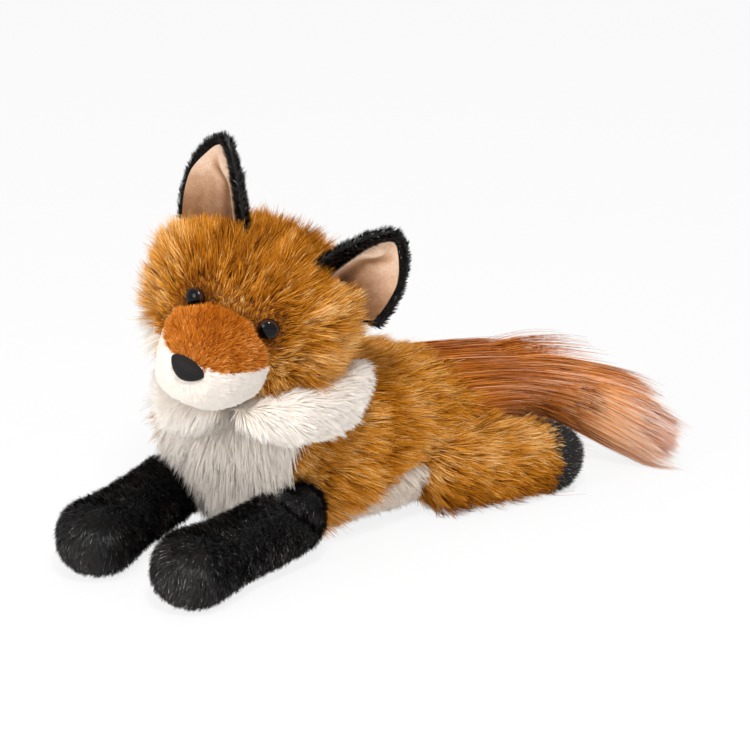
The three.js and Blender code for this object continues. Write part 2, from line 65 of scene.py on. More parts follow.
HEAD_YAW = 29  # degrees that the head is turned to the fox's left
HEAD_TIP = 18  # degrees that it is then tipped to its left
JOINTS = {joint["name"]: joint for joint in frame["joints"]}


# Small helpers


def unit(v):
    return v / np.maximum(np.linalg.norm(v, axis=-1, keepdims=True), 1e-12)


def turned(axis, degrees):
    """A turn about z or y as a matrix."""
    c, s = math.cos(math.radians(degrees)), math.sin(math.radians(degrees))
    return np.array([[c, -s, 0], [s, c, 0], [0, 0, 1]] if axis == "z" else [[c, 0, s], [0, 1, 0], [-s, 0, c]])


def smooth_step(x, low, high):
    t = np.clip((x - low) / (high - low), 0, 1)
    return t * t * (3 - 2 * t)


def eased(x, low, high):
    """A smooth step over x in metres, from low to high in millimetres."""
    return smooth_step(x, low * MM, high * MM)


def bell(x):
    return np.exp(-(x**2))


def seeded(name):
    """The piece's own random draws, the same on each run."""
    return np.random.default_rng(list(name.encode()))


def waves(p, size, seed):
    """Soft noise from -1 to 1 at points p, with swells of about size millimetres."""
    draws = np.random.default_rng(seed)
    total = np.zeros(len(p))
    for _ in range(6):
        way = unit(draws.normal(size=3)) * (2 * math.pi / (size * MM)) * draws.uniform(0.6, 1.5)
        total += np.sin(p @ way + draws.uniform(0, 2 * math.pi))
    return total / 3.5


def swirls(p, size, *seeds):
    """One soft noise for each seed, side by side."""
    return np.stack([waves(p, size, seed) for seed in seeds], 1)


def middle(node):
    low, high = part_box(node)
    return np.array((low + high) / 2)


def new_object(name, mesh):
    made = bpy.data.objects.new(name, mesh)
    bpy.context.scene.collection.objects.link(made)
    return made


def mesh_from(name, points, faces):
    """A smooth mesh. faces is a list of arrays, each with one row of corners per face."""
    mesh = bpy.data.meshes.new(name)
    sizes = np.concatenate([np.full(len(f), f.shape[1]) for f in faces])
    loops = np.concatenate([np.asarray(f).ravel() for f in faces])
    mesh.vertices.add(len(points))
    mesh.vertices.foreach_set("co", np.asarray(points, np.float32).ravel())
    mesh.loops.add(len(loops))
    mesh.loops.foreach_set("vertex_index", loops.astype(np.int32))
    mesh.polygons.add(len(sizes))
    mesh.polygons.foreach_set("loop_start", (np.cumsum(sizes) - sizes).astype(np.int32))
    mesh.polygons.foreach_set("use_smooth", np.ones(len(sizes), bool))
    mesh.update(calc_edges=True)
    return mesh


def mark(mesh, key, values, kind="FLOAT"):
    """Writes an attribute on the mesh's points: one number each, or one vector each."""
    field = "value" if kind == "FLOAT" else "vector"
    mesh.attributes.new(key, kind, "POINT").data.foreach_set(field, np.asarray(values, np.float32).ravel())


def value_at(points, value):
    """A value that may differ from place to place: a number, or a function of the points."""
    return value(points) if callable(value) else value


def sheet_faces(rows, columns, closed=False):
    """Quads over a grid of points, row by row. closed joins the last column to the first."""
    i, j = np.meshgrid(np.arange(rows - 1), np.arange(columns - (not closed)), indexing="ij")
    here, after = i * columns + j, i * columns + (j + 1) % columns
    return np.stack([here, after, after + columns, here + columns], -1).reshape(-1, 4)


def finished(obj, body, node, material):
    """Gives a piece its finish and its body, and hides the frame's node that it stands for, if any. For
    a piece that crosses a seam, body holds two bodies and the places between which it bends; such a piece is only
    fixed in place."""
    obj.data.materials.clear()
    obj.data.materials.append(material)
    if isinstance(body, tuple):
        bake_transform(obj)
    else:
        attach(obj, body)
    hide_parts(*([node] if node else []))


# Materials


def srgb(code):
    """A hex colour as linear red, green, blue and alpha."""
    parts = [int(code[i : i + 2], 16) / 255 for i in (1, 3, 5)]
    return [c / 12.92 if c <= 0.04045 else ((c + 0.055) / 1.055) ** 2.4 for c in parts] + [1.0]


def add(tree, kind, inputs=None, **settings):
    """Adds a shader node. An input is a value, or another node's output to link."""
    made = tree.nodes.new("ShaderNode" + kind)
    for key, value in settings.items():
        setattr(made, key, value)
    for key, value in (inputs or {}).items():
        if isinstance(value, bpy.types.NodeSocket):
            tree.links.new(value, made.inputs[key])
        else:
            made.inputs[key].default_value = value
    return made


def ramp(tree, fac, stops):
    """A colour ramp from places to hex colours."""
    made = add(tree, "ValToRGB", {"Fac": fac})
    elements = made.color_ramp.elements
    while len(elements) < len(stops):
        elements.new(0.5)
    for element, (place, code) in zip(elements, stops.items()):
        element.position = place
        element.color = srgb(code)
    return made.outputs["Color"]


def new_material(name):
    material = bpy.data.materials.new(name)
    material.use_nodes = True
    material.node_tree.nodes.clear()
    return material, material.node_tree


def shaded(tree, **inputs):
    """Ends a material in one Principled shader."""
    named = {key.replace("_", " "): value for key, value in inputs.items()}
    shader = add(tree, "BsdfPrincipled", named)
    add(tree, "OutputMaterial", {"Surface": shader.outputs["BSDF"]})


def pile(name, tones, roots, tips, tips_from, specular, roughness=0.6):
    """Acrylic pile, knitted in and brushed out. The eye sees single fibres, each of its own tone,
    lighter at the cut or drawn tip, and darker towards the foot by painted shade where they stand close together."""
    material, tree = new_material(name)
    tone = add(tree, "Attribute", attribute_name="tone").outputs["Fac"]
    along = add(tree, "Attribute", attribute_name="along").outputs["Fac"]
    body = ramp(tree, tone, tones)
    # Painted shade: the roots ramp darkens each fibre towards its foot.
    foot = ramp(tree, along, roots)
    tip = ramp(tree, tone, tips)
    reach = ramp(tree, along, {tips_from: "#000000", 1: "#ffffff"})
    dyed = add(tree, "Mix", {"Factor": reach, 6: body, 7: tip}, data_type="RGBA")
    deep = add(tree, "Mix", {"Factor": 1.0, 6: dyed.outputs[2], 7: foot}, data_type="RGBA",
               blend_type="MULTIPLY")
    shaded(tree, Base_Color=deep.outputs[2], Roughness=roughness, Specular_IOR_Level=specular)
    return material


# Long golden fox pile: dark brown deep down, partly its own tone and partly painted shade at the foot, honey
# coloured on top, with pale drawn-out tips
GOLDEN = pile(
    "acrylic_pile_golden",
    tones={0: "#421c02", 0.25: "#743802", 0.5: "#a65e06", 0.72: "#ca7d14", 0.9: "#e89f36",
           1: "#f8c27c"},
    roots={0: "#6e5644", 0.45: "#e6ded6", 0.7: "#ffffff"},
    tips={0: "#5e2c06", 0.5: "#c87a14", 0.85: "#eaa646", 1: "#fcdca0"},
    tips_from=0.5,
    specular=0.05,
)
# Long white pile of the bib, the belly and the cheek ruffs, painted a little warm and darker towards its foot as
# shade
WHITE = pile(
    "acrylic_pile_white",
    tones={0: "#dccbb9", 0.5: "#faeee0", 1: "#fff8f0"},
    roots={0: "#f8eee4", 0.4: "#ffffff"},
    tips={0: "#f8ebdc", 1: "#fffaf4"},
    tips_from=0.5,
    specular=0.1,
)
# Short sheared pile of the muzzle's top, rust orange with a browner patch in the middle
RUST = pile(
    "sheared_pile_rust",
    tones={0: "#6a2d02", 0.35: "#984903", 0.65: "#c4690e", 0.85: "#dc8a2e", 1: "#edaa62"},
    roots={0: "#b8a08c", 0.5: "#ffffff"},
    tips={0: "#7d3b04", 0.5: "#cc7216", 1: "#f3b772"},
    tips_from=0.4,
    specular=0.04,
)
# Dense black pile of the legs and ears, with painted glints: a few fibres are coloured pale, lightest at the tip,
# as highlights
BLACK = pile(
    "acrylic_pile_black",
    tones={0: "#050302", 0.6: "#171311", 0.82: "#2b2624", 0.93: "#544c48", 1: "#a39a93"},
    roots={0: "#6a6a6a", 0.7: "#ffffff"},
    tips={0: "#060404", 0.6: "#1d1815", 0.85: "#4a433e", 1: "#efe8e0"},
    tips_from=0.55,
    roughness=0.42,
    specular=0.35,
)
# Extra long straight tail pile: rust brown in dark and light streaks, fading to pinkish tips
BRUSH = pile(
    "long_brush_pile_rust",
    tones={0: "#5e2a05", 0.3: "#9c4c0b", 0.55: "#cc7320", 0.8: "#f09d54", 1: "#ffd0a8"},
    roots={0: "#c0ac9c", 0.3: "#ffffff"},
    tips={0: "#98501a", 0.45: "#d07a34", 0.75: "#f2b284", 1: "#ffe6d8"},
    tips_from=0.5,
    specular=0.05,
)
# Pale end of the tail: the same fibre, undyed
BRUSH_TIP = pile(
    "long_brush_pile_pale",
    tones={0: "#d08a58", 0.35: "#e4a983", 0.65: "#f0d3c2", 1: "#f7f1ed"},
    roots={0: "#d5c3b5", 0.4: "#ffffff"},
    tips={0: "#e79a76", 0.5: "#f6c9b3", 1: "#fdf3ee"},
    tips_from=0.4,
    specular=0.12,
)


def grained(name, kind, size, colours, relief=None, shader=None, **settings):
    """A finish with one grain, size millimetres across, which tints it from the first colour to the
    last. relief is the strength and the depth in millimetres of the bumps that the grain makes."""
    material, tree = new_material(name)
    place = add(tree, "TexCoord").outputs["Object"]
    grain = add(tree, f"Tex{kind}", {"Vector": place, "Scale": 1 / (size * MM), **settings})
    level = grain.outputs["Distance" if kind == "Voronoi" else "Fac"]
    shader = dict(shader or {}, Base_Color=ramp(tree, level, colours))
    if relief:
        strength, depth = relief
        bump = add(tree, "Bump", {"Height": level, "Strength": strength, "Distance": depth * MM},
                   invert=kind == "Voronoi")
        shader["Normal"] = bump.outputs["Normal"]
    shaded(tree, **shader)
    return material


# Knitted backing cloth under the pile: small loops 1.2 mm apart that show between the fibres, painted darker
# between the loops as shade
KNITS = {
    tint: grained(f"knit_backing_{tint}", "Voronoi", 1.2, {0.1: high, 0.7: low},
                   shader={"Roughness": 0.9, "Sheen_Weight": 0.2})
    for tint, low, high in (
        ("golden", "#5e3714", "#8d5820"),
        ("white", "#cbc5bd", "#e6e1db"),
        ("rust", "#7a3d12", "#9c551d"),
        ("black", "#0a0909", "#171515"),
        ("brown", "#4f2a16", "#7a4526"),
    )
}
# The backing and the pile of each kind of cloth
CLOTHS = {
    "golden_pile": (KNITS["golden"], GOLDEN),
    "white_pile": (KNITS["white"], WHITE),
    "rust_short_pile": (KNITS["rust"], RUST),
    "white_short_pile": (KNITS["white"], WHITE),
    "black_pile": (KNITS["black"], BLACK),
    "tail_pile": (KNITS["brown"], BRUSH),
    "tail_tip_pile": (KNITS["brown"], BRUSH_TIP),
}
# Cut velour over padding: near black, quite matt, with a fine pale fuzz that lifts its edges
VELOUR = grained("cut_velour_black", "Noise", 0.7, {0.3: "#070606", 0.75: "#1c1918"}, (0.5, 0.25),
                 {"Roughness": 0.75, "Sheen_Weight": 0.06, "Sheen_Roughness": 0.3,
                  "Specular_IOR_Level": 0.25}, Detail=4.0)
# Loose polyester fibre: matt white, painted soft grey in its hollows 8 mm apart as shade
FIBRE = grained("polyester_fibre_fill", "Noise", 8, {0.3: "#d5d3ce", 0.7: "#f1f0ec"}, (0.7, 2),
                {"Roughness": 0.95, "Sheen_Weight": 0.3}, Detail=5.0)
# Thin cloth bag over 3 mm polyethylene pellets, which show as bumps, painted darker between them as shade
PELLETS = grained("cotton_bag_of_pellets", "Voronoi", 3, {0.1: "#d8d0c2", 0.8: "#a9a091"}, (0.6, 1),
                  {"Roughness": 0.85})
# Injection moulded polyethylene, natural colour: a little waxy, with a faint grain
WASHER = grained("moulded_polyethylene_natural", "Noise", 0.5, {0.3: "#cfcfca", 0.7: "#dedfda"},
                 shader={"Roughness": 0.4, "Subsurface_Weight": 0.1})


def suede_material():
    """Brushed polyester suede: a very short nap that looks soft and a little blotchy, painted
    brown with shade in the ear's hollow beside the fold and low down towards its foot."""
    material, tree = new_material("brushed_suede_cream")
    shade = add(tree, "Attribute", attribute_name="shade").outputs["Fac"]
    place = add(tree, "TexCoord").outputs["Object"]
    nap = add(tree, "TexNoise", {"Vector": place, "Scale": 1 / (1.1 * MM), "Detail": 3.0})
    blotch = add(tree, "TexNoise", {"Vector": place, "Scale": 1 / (9 * MM)})
    level = add(tree, "Math", {0: blotch.outputs["Fac"], 1: 0.35, 2: shade},
                operation="MULTIPLY_ADD")
    tint = ramp(tree, level.outputs[0],
                {0.1: "#e9ceb8", 0.4: "#c59e80", 0.7: "#926846", 1: "#644128"})
    speckle = ramp(tree, nap.outputs["Fac"], {0.3: "#e8e2dc", 0.7: "#ffffff"})
    colour = add(tree, "Mix", {"Factor": 1.0, 6: tint, 7: speckle}, data_type="RGBA",
                 blend_type="MULTIPLY")
    bump = add(tree, "Bump", {"Height": nap.outputs["Fac"], "Strength": 0.3, "Distance": 0.2 * MM})
    shaded(tree, Base_Color=colour.outputs[2], Roughness=0.9, Sheen_Weight=0.12, Sheen_Roughness=0.5,
           Specular_IOR_Level=0.2, Normal=bump.outputs["Normal"])
    return material


def eye_material():
    """Moulded and polished acrylic: a black pupil that fills the dome, and a thin brown iris at
    its rim. It shows small sharp highlights."""
    material, tree = new_material("polished_acrylic_eye")
    ring = add(tree, "Attribute", attribute_name="ring").outputs["Fac"]
    colour = ramp(tree, ring, {0: "#040303", 0.78: "#050403", 0.86: "#3a1e0c", 1: "#1c0f07"})
    shaded(tree, Base_Color=colour, Roughness=0.05, IOR=1.4, Specular_IOR_Level=0.25)
    return material


SUEDE = suede_material()
EYE = eye_material()

# Sewn forms, drawn in from the frame's solids by the depth of their pile


def closed_form(nodes, voxel=3, hulled=True, smoothing=8):
    """One smooth closed skin around some nodes of the frame. voxel is in millimetres."""
    shape = bmesh.new()
    for node in nodes:
        shape.from_mesh(frame["nodes"][node].data)
    if hulled:
        hull = bmesh.ops.convex_hull(shape, input=shape.verts)
        kept = {item for item in hull["geom"] if isinstance(item, bmesh.types.BMFace)}
        bmesh.ops.delete(shape, geom=[face for face in shape.faces if face not in kept], context="FACES")
    rough = bpy.data.meshes.new("rough")
    shape.to_mesh(rough)
    shape.free()
    holder = new_object("rough", rough)
    remesh = holder.modifiers.new("remesh", "REMESH")
    remesh.mode = "VOXEL"
    remesh.voxel_size = voxel * MM
    relax = holder.modifiers.new("relax", "SMOOTH")
    relax.factor = 0.6
    relax.iterations = smoothing
    mesh = bpy.data.meshes.new_from_object(holder.evaluated_get(bpy.context.evaluated_depsgraph_get()))
    bpy.data.objects.remove(holder)
    return mesh


def read(items, key, kind=np.float32):
    out = np.empty(len(items) * 3, kind)
    items.foreach_get(key, out)
    return out.reshape(-1, 3).astype(kind if kind == np.int32 else float)


def arrays(mesh):
    """A mesh's points, triangles and normals."""
    mesh.calc_loop_triangles()
    tris = read(mesh.loop_triangles, "vertices", np.int32)
    return read(mesh.vertices, "co"), tris, read(mesh.vertex_normals, "vector")


def drawn_in(mesh, depth):
    """Moves a closed form's points in by depth, a number or a function of the points."""
    points, _, normals = arrays(mesh)
    reach = np.broadcast_to(value_at(points, depth), len(points))
    moved = points - normals * reach[:, None]
    mesh.vertices.foreach_set("co", moved.astype(np.float32).ravel())
    mesh.update()
    return mesh


MOST_CROSSINGS = 40  # more than any line through a form makes


def tree_of(mesh):
    points, tris, _ = arrays(mesh)
    return BVHTree.FromPolygons(points.tolist(), tris.tolist())


def encloses(tree, point):
    """Whether a closed form holds a point: a line out of it crosses the skin an odd number of times."""
    way = Vector((0.31, -0.22, 0.92)).normalized()  # along no face or axis
    past = way * 1e-5  # a hair beyond the crossing
    spot, crossings = Vector(point), 0
    while spot is not None and crossings < MOST_CROSSINGS:
        spot = tree.ray_cast(spot, way)[0]
        if spot is not None:
            spot, crossings = spot + past, crossings + 1
    return crossings % 2 == 1


def depth_inside(points, tree):
    """How far each point lies inside a closed form, negative outside."""
    out = np.empty(len(points))
    for i, p in enumerate(points):
        spot, normal, _, distance = tree.find_nearest(p)
        inside = (Vector(p) - spot).dot(normal) < 0 and encloses(tree, p)
        out[i] = distance if inside else -distance
    return out


def nearest_panel(points, nodes):
    """For each point, which of the frame's nodes is nearest."""
    far = np.full((len(nodes), len(points)), np.inf)
    for row, node in enumerate(nodes):
        tree = tree_of(frame["nodes"][node].data)
        far[row] = [tree.find_nearest(p)[3] for p in points]
    return far.argmin(0)


PATCHES = {}  # the cloth of each panel, by its node, as points, triangles and normals


def cut_panels(mesh, nodes, claims=None):
    """Cuts a closed form into one patch per panel node."""
    points, tris, normals = arrays(mesh)
    centres = points[tris].mean(1)
    owner = nearest_panel(centres, nodes)
    if claims:
        owner = claims(centres, owner)
    for row, node in enumerate(nodes):
        mine = tris[owner == row]
        used, compact = np.unique(mine, return_inverse=True)
        PATCHES[node] = points[used], compact.reshape(-1, 3), normals[used]


def backing_piece(name, node, body, slot):
    """A panel's backing cloth, 1 mm thick."""
    points, tris, _ = PATCHES[node]
    piece = new_object(name, mesh_from(name, points, [tris]))
    solid = piece.modifiers.new("thickness", "SOLIDIFY")
    solid.thickness = 1 * MM
    solid.offset = -1
    finished(piece, body, None, CLOTHS[slot][0])


# Pile

PIECE_TRIANGLES = 190_000  # the most that one piece of pile holds
TUFT_LOCKS = 2.8  # how wide a tuft is, in locks
TABLE_GAP = 0.3 * MM  # the lowest that fibres lie over the table
TAPER = 0.8  # how much of its width a fibre loses towards its tip


def roots_on(patch, spacing, draws):
    """Random places spread over a patch, one for each square of the given spacing."""
    points, tris, normals = patch
    a, b, c = (points[tris[:, k]] for k in range(3))
    area = np.linalg.norm(np.cross(b - a, c - a), axis=1) / 2
    count = int(area.sum() / spacing**2)
    share = (np.arange(count) + draws.random(count)) / count
    chosen = np.searchsorted(np.cumsum(area) / area.sum(), share).clip(0, len(tris) - 1)
    u, v = draws.random(count), draws.random(count)
    flip = u + v > 1
    u[flip], v[flip] = 1 - u[flip], 1 - v[flip]
    weights = np.stack([1 - u - v, u, v], 1)[:, :, None]
    at = (points[tris[chosen]] * weights).sum(1)
    out = unit((normals[tris[chosen]] * weights).sum(1))
    return at, out


def locks(roots, size, draws):
    """Leading fibres about the given size apart, and for each fibre the number of its lock."""
    low, high = roots.min(0), roots.max(0)
    cells = np.unique(((roots - low) / size).astype(int), axis=0, return_index=True)[1]
    leaders = draws.permutation(cells)
    tree = KDTree(len(leaders))
    for i, place in enumerate(roots[leaders]):
        tree.insert(place, i)
    tree.balance()
    return leaders, np.array([tree.find(place)[1] for place in roots])


def pile_pieces(name, roots, normals, comb, kind, tone, length, lift):
    """Pile as tapering ribbons, in as few pieces as their count allows. comb gives the way that the
    pile lies at some places; tone, length and lift may differ from root to root."""
    draws = seeded(name)
    count, steps = len(roots), kind["steps"]
    ts = np.linspace(0, 1, steps + 1)
    flow = unit(comb(roots))
    laid = unit(flow - normals * (flow * normals).sum(1, keepdims=True))
    across = np.cross(laid, normals)
    # Neighbouring fibres stick together in small locks, and these hang together in tufts.
    heads, lock = locks(roots, kind["lock"], draws)
    tuft_heads, tuft = locks(roots, kind["lock"] * TUFT_LOCKS, draws)
    stray = kind["stray"]
    lean = draws.normal(size=(len(heads), 2))[lock] * stray * 0.6
    lean += draws.normal(size=(len(tuft_heads), 2))[tuft] * stray * 0.4
    lean += draws.normal(size=(count, 2)) * stray * 0.6
    lean += swirls(roots, kind["swell"], 41, 42) * stray * 0.5
    rise = np.radians(kind["lift"]) * lift + lean[:, 0] * 0.6
    reach = kind["length"] * length * draws.uniform(0.55, 1.08, count)
    reach = reach * (1 + 0.1 * draws.normal(size=len(heads))[lock])
    way = unit(laid * np.cos(rise)[:, None] + normals * np.sin(rise)[:, None] + across * lean[:, 1:2])
    bend = kind["settle"] / steps
    curl = kind["curl"] * draws.normal(size=(count, 1))
    step = np.maximum(reach, 0.5 * MM)[:, None] / steps
    spots = [roots]
    for k in range(steps):
        if kind["follows"]:
            flow = unit(comb(spots[-1]))
        way = unit(way + bend * flow - kind["droop"] / steps * UP + curl * (k + 1) / steps * across)
        spots.append(spots[-1] + way * step)
    path = np.stack(spots, 1)
    for leaders, share, cling in ((heads, lock, kind["cling"]), (tuft_heads, tuft, kind["cling"] * 0.4)):
        hold = cling * draws.uniform(0.2, 1.2, (count, 1, 1)) * ts[None, :, None] ** 1.4
        path = path + hold * (path[leaders][share] - path)
    path[..., 2] = np.maximum(path[..., 2], TABLE_GAP)
    tangent = unit(np.gradient(path, axis=1))
    roll = draws.normal(size=count)[:, None] * kind["roll"]
    facing = (normals * np.cos(roll) + across * np.sin(roll))[:, None, :]
    side = unit(np.cross(tangent, facing))
    t = ts[None, :, None]
    width = kind["width"] * draws.uniform(0.7, 1.3, (count, 1, 1)) * (1 - TAPER * t**2)
    points = np.stack([path - side * width / 2, path + side * width / 2], 2)
    # The pile takes the light partly as single fibres and partly as one soft coat.
    coat = kind["coat"]
    shine = unit((1 - coat) * unit(np.cross(side, tangent)) + coat * normals[:, None, :])
    mix = kind["mix"]
    tone = tone + mix * draws.normal(size=count) + 0.5 * mix * draws.normal(size=len(heads))[lock]
    # Painted highlights: a few fibres, chosen at random, are made lighter.
    tone = np.clip(tone + kind["glint"] * (draws.random(count) < kind["glints"]), 0.03, 0.97)
    shares = np.array_split(np.argsort(roots[:, 1]), math.ceil(2 * steps * count / PIECE_TRIANGLES))
    pieces = []
    for number, rows in enumerate(shares, 1):
        called = name if len(shares) == 1 else f"{name}_{number}"
        pieces.append(ribbons(called, points[rows], shine[rows], tone[rows], ts))
    return pieces


def ribbons(name, points, shine, tone, ts):
    """One mesh of ribbons. tone and along also lay out the map that the finish is kept on."""
    count, places = points.shape[:2]
    base = np.arange(count)[:, None] * (2 * places) + 2 * np.arange(places - 1)[None, :]
    quads = np.stack([base, base + 1, base + 3, base + 2], -1).reshape(-1, 4)
    mesh = mesh_from(name, points.reshape(-1, 3), [quads])
    shape = (count, places, 2)
    tones = np.broadcast_to(tone[:, None, None] + np.array([-0.015, 0.015]), shape).ravel()
    alongs = np.broadcast_to(ts[None, :, None], shape).ravel()
    mark(mesh, "tone", tones)
    mark(mesh, "along", alongs)
    spread = mesh.uv_layers.new(name="OFBake")
    flat = np.stack([tones, 0.01 + 0.98 * alongs], 1)[quads.ravel()]
    spread.data.foreach_set("uv", flat.astype(np.float32).ravel())
    mark(mesh, "custom_normal", np.repeat(shine, 2, axis=1), "FLOAT_VECTOR")
    return new_object(name, mesh)


def style(length, spacing, lift, **more):
    """A pile's sizes in millimetres, and its lift in degrees from the cloth. Fibres cling to the head
    of their lock, stray from the comb, curl, settle along the cloth, droop, roll about themselves and
    swell in waves. coat is the share of light that the pile takes as one soft coat, mix the spread of
    its tones, and glints the share of fibres painted lighter by glint, as highlights."""
    kind = dict(width=0.42, lock=3, swell=14, cling=0.55, stray=0.25, steps=3, curl=0.06, settle=0.35,
                droop=0.0, roll=0.5, coat=0.5, mix=0.12, glints=0.08, glint=0.25, follows=False)
    kind.update(more, length=length, spacing=spacing, lift=lift)
    for key in ("length", "spacing", "width", "lock"):
        kind[key] *= MM
    return kind


HEAD_PILE = style(18, 0.66, 46, width=0.28, stray=0.34, cling=0.45, glints=0.14, mix=0.19)
BACK_PILE = style(20, 0.78, 30, width=0.34, lock=3.4, stray=0.3, droop=0.1, glints=0.12, mix=0.14)
THIGH_PILE = style(19, 0.78, 30, width=0.34, lock=3.4, stray=0.3, droop=0.12, glints=0.12, mix=0.14)
BIB_PILE = style(21, 0.68, 26, lock=3.5, stray=0.12, droop=0.2, cling=0.2, coat=0.95, mix=0.03)
BELLY_PILE = style(12, 0.75, 34, lock=3.5, stray=0.14, cling=0.3, coat=0.9, mix=0.04)
RUFF_PILE = style(12, 0.6, 30, stray=0.12, cling=0.3, coat=0.92, mix=0.04)
MUZZLE_PILE = style(3.8, 0.5, 50, width=0.3, lock=1.4, stray=0.34, cling=0.3, steps=2, swell=8)
CHIN_PILE = style(3.4, 0.42, 34, lock=1.8, stray=0.1, cling=0.1, steps=2, coat=0.94, mix=0.03, swell=8)
LEG_PILE = style(5.2, 0.52, 68, width=0.27, lock=1.8, stray=0.34, cling=0.3, steps=2, mix=0.14, glints=0.035,
                 glint=0.55, swell=10)
EAR_PILE = style(4.4, 0.5, 58, width=0.32, lock=1.8, stray=0.3, cling=0.35, steps=2, mix=0.16, glints=0.03,
                 glint=0.4, swell=8)
TAIL_PILE = style(85, 0.95, 2, width=0.34, lock=4, stray=0.055, cling=0.22, steps=8, curl=0.02, settle=1.6,
                  follows=True, droop=0.16, mix=0.11, coat=0.65, roll=0.9, swell=25)
TIP_PILE = style(32, 0.9, 14, width=0.34, lock=4, stray=0.14, cling=0.3, steps=5, curl=0.03, settle=0.8,
                 follows=True, mix=0.2, roll=0.9)

# Head places

HEAD_AT = np.array(JOINTS["head_turn"]["pos_m"])
HEAD = turned("z", HEAD_YAW) @ turned("y", HEAD_TIP)


def on_head(x, y, z):
    """A place given in millimetres in the head's own frame."""
    return HEAD_AT + HEAD @ (np.array([x, y, z]) * MM)


def head_places(points):
    """Points in the head's own frame, in millimetres."""
    return (points - HEAD_AT) @ HEAD / MM


def eye_axis(side):
    """The foot of an eye's dome and the way that it looks, from the frame's eye and washer."""
    back = middle(f"eye_washer_{side}")
    shape = arrays(frame["nodes"][f"eye_{side}"].data)[0]
    pole = shape[np.linalg.norm(shape - back, axis=1).argmax()]
    way = unit(pole - back)
    return pole - way * EYE_DOME, way


EYE_DOME = 4.2 * MM
EYE_RADIUS = 6.1 * MM
EYES = {side: eye_axis(side) for side in SIDES}
NOSE_AT = on_head(-2.2, -86.5, -12.6)


def near_eyes(points):
    """Distance to the nearer eye."""
    return np.min([np.linalg.norm(points - EYES[side][0], axis=1) for side in SIDES], axis=0)


# The tail's middle line, from inside the rump to its end, and the run along it from its seam

TAIL_SEAM = 22 * MM  # how far along the line the seam is
TAIL_LINE = np.array([
    [-8, 38, 70], [-3, 58, 68], [3, 82, 69], [13, 110, 62], [25, 136, 52],
    [38, 158, 40], [50, 171, 29.5], [64, 180, 22], [82, 188, 13],
]) * MM
EIGHTHS = np.linspace(0, 1, 8, endpoint=False)[:, None]
TAIL_FINE = np.concatenate([a + (b - a) * EIGHTHS for a, b in zip(TAIL_LINE[:-1], TAIL_LINE[1:])])
TAIL_FINE = np.array([TAIL_FINE[max(i - 5, 0) : i + 6].mean(0) for i in range(len(TAIL_FINE))])
TAIL_WAYS = unit(np.gradient(TAIL_FINE, axis=0))
TAIL_RUN = np.concatenate([[0], np.cumsum(np.linalg.norm(np.diff(TAIL_FINE, axis=0), axis=1))]) - TAIL_SEAM
TAIL_LENGTH = TAIL_RUN[-1]


def tail_place(points):
    """For each point the distance along the tail, the nearest place on its line and the line's way."""
    parts = np.array_split(points, max(len(points) // 20000, 1))  # keeps the table of distances small
    nearest = np.concatenate([((part[:, None] - TAIL_FINE) ** 2).sum(-1).argmin(1) for part in parts])
    ahead = ((points - TAIL_FINE[nearest]) * TAIL_WAYS[nearest]).sum(1)
    centre = TAIL_FINE[nearest] + TAIL_WAYS[nearest] * ahead[:, None]
    return TAIL_RUN[nearest] + ahead, centre, TAIL_WAYS[nearest]


# The shoulders, and the crease that the left elbow folds into

SHOULDERS = {side: np.array(JOINTS[f"foreleg_{side}_swing"]["pos_m"]) for side in SIDES}
ELBOW_CREASE = np.array([[24, -94, 50], [32, -94, 47], [40, -93, 43], [44, -87, 36], [44, -76, 26]]) * MM


def from_crease(points):
    far = np.full(len(points), np.inf)
    for a, b in zip(ELBOW_CREASE[:-1], ELBOW_CREASE[1:]):
        share = np.clip((points - a) @ (b - a) / ((b - a) @ (b - a)), 0, 1)[:, None]
        far = np.minimum(far, np.linalg.norm(points - a - share * (b - a), axis=1))
    return far


# The top of the left elbow, which stands out of the shoulder's pile
ELBOW_TOP = np.array([33, -75, 49]) * MM


def from_elbow(points):
    return np.linalg.norm(points - ELBOW_TOP, axis=1)


# Torso: the head, the legs and the tail are sewn on, so no pile grows under them

TORSO_NODES = ["back_skin", "chest_bib", "belly_panel"]
BODIES = frame["record"]["behaviour"]["bodies"]
# How deep the cloth lies under the surface that the pile makes
TORSO_DEPTH = HEAD_DEPTH = TAIL_DEPTH = 8 * MM
MUZZLE_DEPTH, RUFF_DEPTH, HIND_DEPTH = 3 * MM, 2.5 * MM, 7 * MM
LEG_DEPTH = FOOT_DEPTH = 3.5 * MM


def snout_far(p):
    """How far a place on the head is from the muzzle's surface, in metres."""
    return (np.linalg.norm((p - [0, -50, -16]) * [1, 1, 1.08], axis=1) - 33) * MM


def head_depth(points):
    """The head's cloth comes up to the face: its pile is short round the eyes and the muzzle."""
    p = head_places(points)
    near = np.minimum(near_eyes(points) - 4 * MM, snout_far(p))
    crown = 2.5 * MM * smooth_step(p[:, 2], 12, 40)
    bridge = 3 * MM * smooth_step(p[:, 2], -6, 6) * (1 - smooth_step(np.abs(p[:, 0] - 1), 10, 18))
    return 2 * MM + bridge + (HEAD_DEPTH - 2 * MM + crown) * eased(near, 0, 18)


def muzzle_depth(points):
    """The cloth comes out at the muzzle's top, and goes in under the chin and beside the eyes."""
    p = head_places(points)
    eyes = 1 - eased(near_eyes(points), 6, 11)
    chin, top = smooth_step(-p[:, 2], 30, 46), smooth_step(p[:, 2], -5, 8)
    return MUZZLE_DEPTH + (3.5 * chin + 2 * eyes - 2.5 * top) * MM


